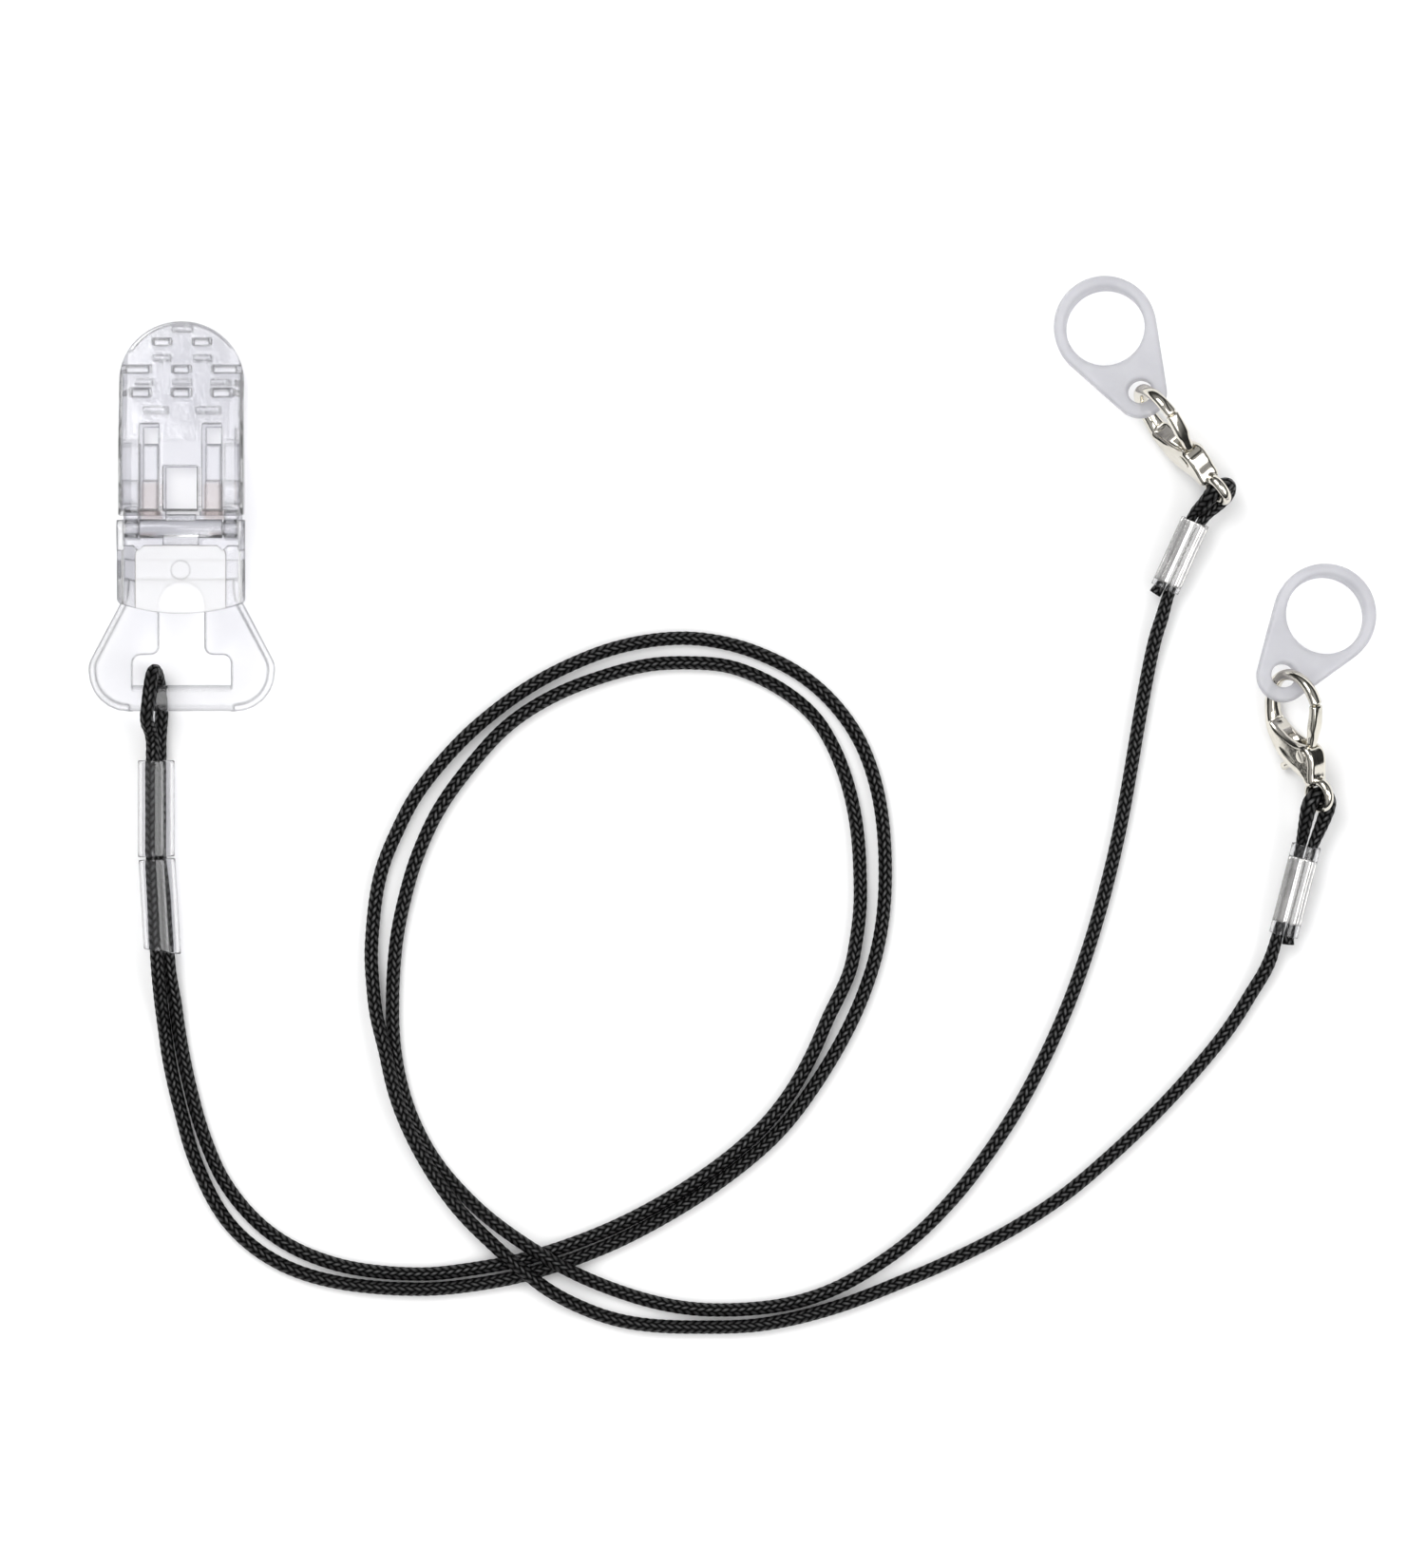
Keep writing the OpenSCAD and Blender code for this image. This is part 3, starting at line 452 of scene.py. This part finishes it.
# ---------------------------------------------------------------- cord
def cord_rings(flat=0.99999, even=0.05):
    """Centres and radii of the CAD cord's sections, in order from one end.

    The ends are the groups of triangles whose normals agree to flat, and whose corners are as far from their
    middle to within the even share.
    """
    mesh = frame["nodes"]["cord"].data
    co = node_points("cord")
    key = np.round(co / 1e-6).astype(np.int64)
    _, first, same = np.unique(key, axis=0, return_index=True, return_inverse=True)
    same = same.ravel()
    co = co[first]
    mesh.calc_loop_triangles()
    tri = np.zeros(len(mesh.loop_triangles) * 3, np.int64)
    mesh.loop_triangles.foreach_get("vertices", tri)
    tri = same[tri.reshape(-1, 3)]
    near = [set() for _ in co]
    for a, b, c in tri:
        near[a].update((b, c))
        near[b].update((a, c))
        near[c].update((a, b))
    normal = unit(np.cross(co[tri[:, 1]] - co[tri[:, 0]], co[tri[:, 2]] - co[tri[:, 0]]))
    by_vertex = [[] for _ in co]
    for t, corners in enumerate(tri):
        for v in corners:
            by_vertex[v].append(t)

    def cap_from(t):
        """Vertices of the flat group of triangles that holds triangle t."""
        group, todo = {t}, [t]
        while todo:
            here = todo.pop()
            for v in tri[here]:
                for other in by_vertex[v]:
                    if other not in group and normal[other] @ normal[t] > flat:
                        if len(set(tri[other]) & set(tri[here])) == 2:
                            group.add(other)
                            todo.append(other)
        return group

    caps = []
    for t in range(len(tri)):
        if any(t in cap for cap in caps):
            continue
        group = cap_from(t)
        corners = co[list({int(v) for g in group for v in tri[g]})]
        reach = np.linalg.norm(corners - corners.mean(0), axis=1)
        if len(group) > 4 and np.ptp(reach) < even * reach.mean():
            caps.append(group)
    start = min(caps, key=lambda g: co[tri[list(g)].ravel()][:, 0].mean())
    level = {int(v): 0 for t in start for v in tri[t]}
    ring, rings = sorted(level), []
    while ring:
        rings.append(ring)
        following = sorted({w for v in ring for w in near[v] if w not in level})
        level.update({int(w): len(rings) for w in following})
        ring = following
    centre = np.array([co[r].mean(0) for r in rings])
    radius = np.array([np.linalg.norm(co[r] - c, axis=1).mean() for r, c in zip(rings, centre)])
    return centre, radius


def braid(step=0.18 * MM, sides=40, carriers=8, pitch=0.86 * MM, depth=0.085 * MM, full=0.725 * MM):
    """The cord's surface, raised where a strand lies on top and sunk where it dives.

    The relief has its whole depth where the cord has its full radius, and less where it is squeezed.
    """
    centre, radius = cord_rings()
    along = np.concatenate([[0], np.cumsum(np.linalg.norm(np.diff(centre, axis=0), axis=1))])
    at = np.arange(0, along[-1], step)
    line, size = spline(along, at, centre), np.interp(at, along, radius)
    _, across, other = frames_along(line, UP + 0.01)
    angle = np.arange(sides) * 2 * math.pi / sides
    u = angle[None, :] / (2 * math.pi) * carriers
    v = (at / pitch)[:, None]
    a, b = u + v, u - v
    phase = np.mod(np.floor(a) + np.floor(b), 4)
    fa, fb = a - np.floor(a), b - np.floor(b)
    right = phase < 2
    width = np.where(right, fa, fb)
    length = np.where(right, (fb + phase) / 2, (fa + phase - 2) / 2)
    arch = np.sqrt(np.clip(1 - (2 * width - 1) ** 2 * 0.9, 0, 1))
    crown = arch * (0.35 + 0.65 * np.sin(math.pi * length) ** 0.6)
    share = np.clip(size / full, 0.6, 1)[:, None]
    r = size[:, None] - depth * share * (1 - crown)
    verts = (line[:, None] + r[..., None] * spokes(angle, across, other)).reshape(-1, 3)
    rows = len(at)
    mesh = make_mesh("cord_braid", verts, grid_faces(rows, sides) + end_caps(rows, sides))
    row, col = np.meshgrid(np.arange(rows - 1), np.arange(sides), indexing="ij")
    around = np.stack([col, col + 1, col + 1, col], -1) / sides * carriers
    ahead = at[np.stack([row, row, row + 1, row + 1], -1)] / pitch
    strand = np.stack([around, ahead], -1).reshape(-1, 2)
    strand = np.concatenate([strand, np.zeros((len(mesh.loops) - len(strand), 2))])
    mesh.uv_layers.new(name="strand").data.foreach_set("uv", strand.ravel().astype(np.float32))
    new_object("cord_braid", mesh, "cord", CORD, "cord")


braid()


# ---------------------------------------------------------------- sleeves and ferrules
def slide_sleeve(which, slanted, outer=1.95 * MM, inner=1.56 * MM):
    """A clear tube round both strands, with a straight or a slanted lower end."""
    name, body = f"cord_sleeve_{which}", f"sleeve_{which}"
    axis = np.array(JOINTS[body + "_slide"]["axis"], float)
    axis = axis if axis[1] < 0 else -axis
    co = node_points(name)
    along = co @ axis
    near_top = co[along < along.min() + 0.2 * MM]
    start = (near_top.min(0) + near_top.max(0)) / 2
    length = along.max() - along.min() - (0.45 * MM if slanted else 0)
    wall = tube_profile(length, outer, inner)
    slant = -0.2 if slanted else 0.03
    mesh = lathe(name, start, axis, wall, slant=slant, slant_way=np.cross(axis, UP))
    new_object(name + "_tube", mesh, body, SLEEVE, name)


def ends_of(name, reach=0.4 * MM):
    """Centres of the two ends of a straight CAD node."""
    co = np.unique(np.round(node_points(name), 7), axis=0)
    middle = co.mean(0)
    along = (co - middle) @ unit(np.linalg.svd(co - middle, full_matrices=False)[2][0])
    first = co[along < along.min() + reach].mean(0)
    last = co[along > along.max() - reach].mean(0)
    return first, last


def ferrule_section(lobe, radius, count=48, waist=0.74):
    """Outline round two lobes side by side, in to a share of their radius at the waist between them."""
    points = []
    for k in range(count):
        t = 2 * math.pi * (k + 0.5) / count
        x, y = math.cos(t), math.sin(t)
        cx = lobe if x > 0 else -lobe
        valley = waist * radius / max(abs(y), 0.35)
        on_lobe = 0.0
        if radius > abs(cx * y):
            on_lobe = cx * x + math.sqrt(radius**2 - (cx * y) ** 2)
        reach = max(on_lobe, valley)
        points.append((x * reach, y * reach))
    return np.array(points)


def end_sleeve(which, outer=1.55 * MM, inner=1.31 * MM, lip=0.06 * MM):
    """The clear sleeve at one end of the cord. Returns its lower end and its direction."""
    name = f"end_sleeve_{which}"
    low, high = ends_of(name)
    if low[1] > high[1]:
        low, high = high, low
    axis = unit(high - low)
    wall = tube_profile(np.linalg.norm(high - low), outer, inner, lip)
    mesh = lathe(name, low, axis, wall, slant=0.04, slant_way=unit(np.cross(axis, UP)))
    new_object(name + "_tube", mesh, "cord", SLEEVE, name)
    return low, axis


def crimp(which, low, axis, lobe=0.56 * MM, outside=0.70 * MM, bore=0.53 * MM):
    """The two-lobe metal crimp in an end sleeve, dented along its middle and at its rims."""
    name = f"ferrule_{which}"
    side = unit(np.cross(axis, UP))
    other = np.cross(side, axis)
    along = (node_points(name) - low) @ axis
    start, length = along.min(), along.max() - along.min()
    outer, inner = ferrule_section(lobe, outside), ferrule_section(lobe, bore)
    rows = []
    for s in np.linspace(0, 1, 40):
        rim = max(0.0, 1 - min(s, 1 - s) * 22)
        dent = 1 - 0.035 * math.sin(math.pi * s) ** 2 - 0.04 * rim
        rows.append((s * length, outer * dent))
    rows += [(length * 0.998, inner * 1.02), (0.5 * length, inner), (length * 0.002, inner * 1.02)]
    verts = [low + axis * (start + s) + p @ np.stack([side, other]) for s, p in rows]
    mesh = make_mesh(name, np.concatenate(verts), grid_faces(len(rows), len(outer), True, True))
    new_object(name + "_crimp", mesh, "cord", FERRULE, name)


slide_sleeve("upper", slanted=False)
slide_sleeve("lower", slanted=True)
for which in "ab":
    crimp(which, *end_sleeve(which))


# ---------------------------------------------------------------- clasps
def station_line(stations, count):
    """A smooth flat line through [x, y, heading, half width, half thickness] rows, in mm."""
    rows = np.array(stations, float)
    points, sizes = [], []
    for a, b in zip(rows, rows[1:]):
        chord = np.hypot(*(b[:2] - a[:2]))
        turn = math.radians(abs((b[2] - a[2] + 180) % 360 - 180))
        pull = chord / math.cos(turn / 4) ** 2
        leave, arrive = (pull * np.array([math.cos(h), math.sin(h)]) for h in np.radians([a[2], b[2]]))
        for u in np.arange(0, 1, 1 / count):
            v = 1 - u
            share = u * u * (3 - 2 * u)
            p = (1 - share) * a[:2] + u * v * v * leave + share * b[:2] - u * u * v * arrive
            points.append([p[0], p[1], 0.0])
            sizes.append(a[3:5] * (1 - share) + b[3:5] * share)
    points.append([*rows[-1, :2], 0.0])
    sizes.append(rows[-1, 3:5])
    return np.array(points), np.array(sizes)


def bar(stations, sides=24, count=10, square=2.5):
    """A bar with a rounded-square section and domed ends along a flat line, in mm."""
    line, size = station_line(stations, count)
    for end, inside in ((0, 1), (-1, -2)):
        step = unit(line[end] - line[inside])
        dome = [line[end] + step * min(size[end]) * 0.45 * t for t in (0.5, 0.8, 0.97)]
        scale = [size[end] * math.sqrt(1 - t**2) for t in (0.5, 0.8, 0.97)]
        if end == 0:
            line, size = np.vstack([dome[::-1], line]), np.vstack([scale[::-1], size])
        else:
            line, size = np.vstack([line, dome]), np.vstack([size, scale])
    tangent = unit(np.gradient(line, axis=0))
    across = np.cross(UP, tangent)
    t = (np.arange(sides) + 0.5) * 2 * math.pi / sides
    shape = (np.abs(np.cos(t)) ** square + np.abs(np.sin(t)) ** square) ** (-1 / square)
    verts = [
        p + s[0] * np.outer(shape * np.cos(t), a) + s[1] * np.outer(shape * np.sin(t), UP)
        for p, a, s in zip(line, across, size)
    ]
    return np.concatenate(verts), grid_faces(len(line), sides) + end_caps(len(line), sides)


def button(centre, radius, low, high, round_by=0.15, sides=40):
    """A short round boss along z with softened rims, in mm."""
    quarter = np.linspace(math.pi / 2, 0, 5)
    rows = [(low + round_by * (1 - math.sin(a)), radius - round_by * (1 - math.cos(a))) for a in quarter]
    rows = [(low, 0.001)] + rows + [(high - (z - low), r) for z, r in rows[::-1]] + [(high, 0.001)]
    t = np.arange(sides) * 2 * math.pi / sides
    middle = np.array([*centre, 0.0])
    verts = [middle + np.stack([r * np.cos(t), r * np.sin(t), z * np.ones(sides)], 1) for z, r in rows]
    return np.concatenate(verts), grid_faces(len(rows), sides)


def torus(radius, wire, flat=1.0, sides=18, count=64):
    """A ring of round wire about the z axis, in mm."""
    turn = 2 * math.pi
    t, p = np.meshgrid(np.arange(count) * turn / count, np.arange(sides) * turn / sides, indexing="ij")
    r = radius + wire * np.cos(p)
    verts = np.stack([r * np.cos(t), r * np.sin(t), flat * wire * np.sin(p)], -1).reshape(-1, 3)
    return verts, grid_faces(count, sides, True, True)


def prism(outline, low, high):
    """A straight block over a flat outline, in mm."""
    verts = np.array([[x, y, z] for z in (low, high) for x, y in outline])
    return verts, end_caps(2, len(outline)) + grid_faces(2, len(outline))


def pebble(outline, half, round_by, count=96, levels=6):
    """A plate with rounded rims over a smooth outline, from -half to half along z, in mm."""
    around = np.array(outline + outline[:1])
    wide = np.vstack([around[-3:-1], around, around[1:3]])
    at = np.linspace(0, len(outline), count, endpoint=False)
    line = spline(np.arange(-2.0, len(outline) + 3), at, wide)
    way = unit(np.roll(line, -1, 0) - np.roll(line, 1, 0))
    inward = np.stack([-way[:, 1], way[:, 0]], 1)
    turn = np.linspace(0, math.pi / 2, levels)
    rows = [(-half + round_by * (1 - math.sin(a)), round_by * (1 - math.cos(a))) for a in turn[::-1]]
    rows += [(-z, inset) for z, inset in rows[::-1]]
    layers = [np.column_stack([line + inward * inset, np.full(count, z)]) for z, inset in rows]
    return np.concatenate(layers), grid_faces(len(rows), count) + end_caps(len(rows), count)


def joined(name, shapes):
    """One mesh of several (vertices, faces) shapes."""
    verts, faces, base = [], [], 0
    for v, f in shapes:
        verts.append(v)
        faces += [tuple(i + base for i in face) for face in f]
        base += len(v)
    return make_mesh(name, np.concatenate(verts), faces)


def fused(name, shapes, voxel, smooth, cut=None):
    """Overlapping shapes melted into one skin, then cut. Lengths in mm."""
    work = bpy.data.objects.new("work", joined(name, shapes))
    scene.collection.objects.link(work)
    melt = work.modifiers.new("melt", "REMESH")
    melt.mode, melt.voxel_size = "VOXEL", voxel
    relax = work.modifiers.new("relax", "SMOOTH")
    relax.iterations, relax.factor = smooth, 0.5
    tool = None
    if cut:
        tool = bpy.data.objects.new("tool", joined("tool", cut))
        scene.collection.objects.link(tool)
        slot = work.modifiers.new("slot", "BOOLEAN")
        slot.operation, slot.object, slot.solver = "DIFFERENCE", tool, "EXACT"
        slot.use_self = True
    mesh = evaluated_mesh(work)
    mesh.name = name
    if tool:
        bpy.data.objects.remove(tool)
    return mesh


def arc(centre, radius, start, end, count, closed=False):
    """Points round a circle, from one angle to another in degrees."""
    angles = np.radians(np.linspace(start, end, count, endpoint=not closed))
    return [(centre[0] + radius * math.cos(a), centre[1] + radius * math.sin(a)) for a in angles]


def sector(pivot, start, end, reach, back=0.6):
    """A fan-shaped outline from a pivot."""
    middle = (start + end) / 2
    return arc(pivot, reach, start, end, 8) + arc(pivot, back, middle + 90, middle - 90, 2)


# The clasp before it is placed: eye at the origin, claw to +x, in mm. Bars are station_line rows.
PIVOT = (4.4, 0.3)
CLAW = [[1.2, 0, -6, 0.6, 0.6], [3.2, -0.75, -38, 1.15, 1.2], [5.2, -2.35, -34, 1.1, 1.25],
        [7.6, -3.35, -10, 0.9, 1.1], [10.4, -3.05, 22, 0.7, 0.85], [12.45, -1.7, 52, 0.6, 0.7],
        [13.1, 0.2, 92, 0.58, 0.6], [12.4, 2.15, 126, 0.56, 0.6], [11, 3.25, 155, 0.58, 0.64],
        [9.3, 3.6, 178, 0.52, 0.66]]
ARM = [[5.05, 0.9, 38, 0.45, 0.5], [6, 1.6, 38, 0.5, 0.54], [7, 2.35, 35, 0.52, 0.76],
       [9.0, 3.47, 22, 0.48, 0.7]]
THUMB = [[4.3, -0.4, 268, 0.4, 0.45], [4.1, -2.4, 264, 0.36, 0.5], [3.9, -4, 262, 0.45, 0.55]]
EYE_RADIUS, EYE_WIRE = 1.45, 0.5
# Half widths across the clasp: its slot, its cheeks, the faces under the pin's heads, and the heads' tops
SLOT, CHEEK_OUT, HEAD_IN, HEAD_OUT = 0.62, 1.2, 1.15, 1.33
# Radii round the pivot
PIN, HEAD, HUB, HUB_ROOM, ARM_ROOM, THUMB_ROOM = 0.5, 0.72, 1.05, 1.2, 5.6, 7
HUB_LOW, HUB_TOP = -0.57, -0.07
CHEEK = [(1.2, -0.45), (2.2, -0.8), (3.3, -1.5), (5.2, -2.9), (7.2, -3.6), (8.6, -3.4), (8.9, -2.9),
         (8.0, -2.3), (6.9, -1.35), (5.9, -0.1), (5.3, 1.05), (4.4, 1.6), (3.3, 1.5), (2.2, 1.0), (1.2, 0.5)]


def coil_spring(radius=0.74, wire=0.1, turns=2, pitch=0.21, start=0.06, count=60, sides=8):
    """A coil of round wire about the pivot, in mm."""
    turn = np.linspace(0, 2 * math.pi * turns, count)
    x, y = PIVOT[0] + radius * np.cos(turn), PIVOT[1] + radius * np.sin(turn)
    line = np.stack([x, y, start + pitch * turn / (2 * math.pi)], 1)
    _, across, other = frames_along(line, UP + 0.001)
    angles = np.arange(sides) * 2 * math.pi / sides
    verts = (line[:, None] + wire * spokes(angles, across, other)).reshape(-1, 3)
    return verts, grid_faces(count, sides) + end_caps(count, sides)


def clasp(s):
    """Lobster clasp: a shell with eye and claw, a gate leaf with arm and thumb tab, a pin and a coil."""
    swing, gate = JOINTS[f"clasp_{s}_swing"], JOINTS[f"gate_{s}_open"]
    eye, z = np.array(swing["pos_m"]), unit(np.array(swing["axis"]))
    arm = np.array(gate["pos_m"]) - eye
    arm = unit(arm - (arm @ z) * z)
    turn = math.atan2(PIVOT[1], PIVOT[0])
    x = arm * math.cos(turn) - np.cross(z, arm) * math.sin(turn)
    y = np.cross(z, x)
    basis = np.stack([x, y, z])

    def add(name, mesh, body, replaced):
        mesh.vertices.foreach_set("co", (points_of(mesh) * MM @ basis + eye).ravel())
        mesh.update()
        new_object(f"clasp_{s}_{name}", mesh, body, NICKEL, f"clasp_{s}_{replaced}")

    voxel = 0.07
    fans = [sector(PIVOT, -34, 50, ARM_ROOM), sector(PIVOT, 222, 276, THUMB_ROOM, back=0.9)]
    room = [prism(fan, -SLOT, SLOT) for fan in fans + [arc(PIVOT, HUB_ROOM, 0, 360, 32, closed=True)]]
    shell = [torus(EYE_RADIUS, EYE_WIRE, flat=1.15), bar(CLAW), pebble(CHEEK, CHEEK_OUT, round_by=0.45)]
    add("shell", fused(f"clasp_{s}_shell", shell, voxel, 5, room), f"clasp_{s}", "body")
    leaf = [button(PIVOT, HUB, HUB_LOW, HUB_TOP, round_by=0.1), bar(ARM, square=3.5), bar(THUMB)]
    add("leaf", fused(f"clasp_{s}_leaf", leaf, voxel * 0.8, 3), f"gate_{s}", "gate")
    pin = [button(PIVOT, PIN, -HEAD_IN, HEAD_IN, round_by=0.05)]
    pin.append(button(PIVOT, HEAD, HEAD_IN, HEAD_OUT, round_by=0.13))
    pin.append(button(PIVOT, HEAD, -HEAD_OUT, -HEAD_IN, round_by=0.13))
    add("pin", joined(f"clasp_{s}_pin", pin), f"clasp_{s}", "rivet")
    add("coil", make_mesh(f"clasp_{s}_coil", *coil_spring()), f"clasp_{s}", "spring")


for which in "ab":
    clasp(which)


# ---------------------------------------------------------------- rings
def soft_ring(s, big=5.4, big_hole=4.15, tab=2.8, tab_hole=1.3, half=0.9, edge=0.42):
    """Moulded teardrop ring: thicker round its large hole, thin at the hook's hole. Sizes are in mm."""
    mount, swing = MOUNTS[f"ring_{s}_hole"], JOINTS[f"ring_{s}_swing"]
    z = unit(np.array(mount["axis"], float))
    centre, hook = np.array(mount["pos_m"], float), np.array(swing["pos_m"], float)
    y = unit(centre - hook)
    x = np.cross(y, z)
    basis = np.stack([x, y, z])
    pitch = np.linalg.norm(centre - hook) / MM
    lean = math.degrees(math.acos((big - tab) / pitch))
    outline = arc((0, pitch), big, lean - 90, 270 - lean, 120)
    outline += arc((0, 0), tab, 270 - lean, 270 + lean, 50)[1:-1]
    holes = [arc((0, pitch), big_hole, 0, 360, 90, closed=True)]
    holes.append(arc((0, 0), tab_hole, 0, 360, 40, closed=True))
    curve = bpy.data.curves.new("ring", "CURVE")
    curve.dimensions, curve.fill_mode = "2D", "BOTH"
    for loop in [outline] + holes:
        line = curve.splines.new("POLY")
        line.points.add(len(loop) - 1)
        line.points.foreach_set("co", [c for p in loop for c in (p[0], p[1], 0.0, 1.0)])
        line.use_cyclic_u = True
    curve.extrude, curve.offset = half - edge, -edge
    curve.bevel_depth, curve.bevel_resolution = edge, 4
    work = bpy.data.objects.new("work", curve)
    scene.collection.objects.link(work)
    flat = bpy.data.objects.new("flat", evaluated_mesh(work))
    scene.collection.objects.link(flat)
    weld = flat.modifiers.new("weld", "WELD")
    weld.merge_threshold = 0.001
    melt = flat.modifiers.new("melt", "REMESH")
    melt.mode, melt.voxel_size = "VOXEL", 0.12
    relax = flat.modifiers.new("relax", "SMOOTH")
    relax.iterations, relax.factor = 4, 0.5
    mesh = evaluated_mesh(flat)
    co = points_of(mesh)
    thick = np.clip((co[:, 1] + tab) / 6.0, 0, 1)
    co[:, 2] *= 0.74 + 0.26 * thick * thick * (3 - 2 * thick)
    collar = np.clip((co[:, 1] - pitch + 2) / (big + 2), 0, 1)
    co[:, 2] += 0.5 * collar * np.clip(co[:, 2] + half, 0, 2 * half) / half
    mesh.vertices.foreach_set("co", (co * MM @ basis + hook).ravel())
    mesh.update()
    mesh.name = f"ring_{s}_soft"
    new_object(f"ring_{s}_soft", mesh, f"ring_{s}", SILICONE, f"ring_{s}")


for which in "ab":
    soft_ring(which)


# ---------------------------------------------------------------- floor, light and camera
def floor_material():
    """Pale matt paper with a faint cloud."""
    s = Nodes(bpy.data.materials.new("floor_white"))
    place = s.add("ShaderNodeTexCoord")
    cloud = s.add("ShaderNodeTexNoise", {"Vector": (place, "Object"), "Scale": 6.0, "Detail": 2.0})
    colour = s.ramp((cloud, "Fac"), [(0.3, grey(0.93)), (0.7, grey(0.95))])
    paper = {"Base Color": colour, "Roughness": 0.7, "Specular IOR Level": 0.0}
    return s.finish((s.add("ShaderNodeBsdfPrincipled", paper), 0))


def make_floor(reach=3.0, gap=0.03 * MM):
    """A wide floor just under the object."""
    z = cad_low.z - gap
    corners = [(-reach, -reach, z), (reach, -reach, z), (reach, reach, z), (-reach, reach, z)]
    plane = make_mesh("floor", corners, [(0, 1, 2, 3)])
    plane.materials.append(floor_material())
    floor = bpy.data.objects.new("floor", plane)
    scene.collection.objects.link(floor)


def area_light(name, offset, size_m, watts):
    """A rectangular lamp at an offset from the middle of the object, turned to face it."""
    target = (cad_low + cad_high) / 2
    light = bpy.data.lights.new(name, "AREA")
    light.energy, light.shape = watts, "RECTANGLE"
    light.size, light.size_y = size_m
    obj = bpy.data.objects.new(name, light)
    obj.location = target + Vector(offset)
    obj.rotation_mode = "QUATERNION"
    obj.rotation_quaternion = (target - obj.location).to_track_quat("-Z", "Y")
    scene.collection.objects.link(obj)
    return obj


def studio():
    """A bright room with a dark horizon and a dark card.

    Mirrors see it dimmer, so metal and tubes keep their contrast. Rays through clear plastic see it paler.
    """
    s = Nodes(bpy.data.worlds.new("studio"), "ShaderNodeOutputWorld")
    place = s.add("ShaderNodeTexCoord")
    axis = s.add("ShaderNodeSeparateXYZ", {0: (place, "Generated")})
    sky = [(0, 0.04), (0.10, 0.04), (0.28, 0.12), (0.5, 0.75), (0.8, 1.0), (1, 1.0)]
    card = [(0, 1.0), (0.16, 1.0), (0.24, 0.12), (0.36, 0.10), (0.44, 1.0), (1, 1.0)]
    height = s.ramp((axis, "Z"), [(at, grey(value)) for at, value in sky])
    shade = s.ramp((axis, "X"), [(at, grey(value)) for at, value in card])
    ray = s.add("ShaderNodeLightPath")
    room = s.mix(1.0, height, shade, "MULTIPLY")
    paler = s.mix(s.product((ray, "Is Transmission Ray"), 0.45), room, grey(0.9))
    power = s.add("ShaderNodeMapRange", {"Value": (ray, "Is Glossy Ray"), "To Min": 1.2, "To Max": 0.5})
    back = s.add("ShaderNodeBackground", {"Color": paler, "Strength": (power, 0)})
    return s.finish((back, 0))


def make_camera(frame_height, distance, offset):
    """A camera straight above a point at an offset from the middle of the clip's base."""
    clip_low, clip_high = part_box("clip_base")
    aim = (clip_low + clip_high) / 2 + Vector(offset)
    camera = bpy.data.objects.new("camera", bpy.data.cameras.new("camera"))
    camera.data.sensor_width = 36
    camera.data.lens = 18 / ((frame_height / 2) / distance)
    camera.data.clip_start, camera.data.clip_end = 0.05, 20
    camera.location = (aim.x, aim.y, cad_low.z + distance)
    scene.collection.objects.link(camera)
    scene.camera = camera


make_floor()
area_light("key", (-0.35, 0.45, 0.75), (0.5, 0.5), 3.9)
area_light("fill", (0.55, -0.25, 0.6), (0.6, 0.4), 2.0)
strip = area_light("strip", (0.27, 0, 0.9), (0.4, 0.9), 5.0)
strip.visible_diffuse = strip.visible_transmission = False
scene.world = studio()
make_camera(0.1656, 1.1, (0.05589, -0.02806, 0))
scene.view_settings.view_transform = "Standard"
scene.view_settings.look = "None"
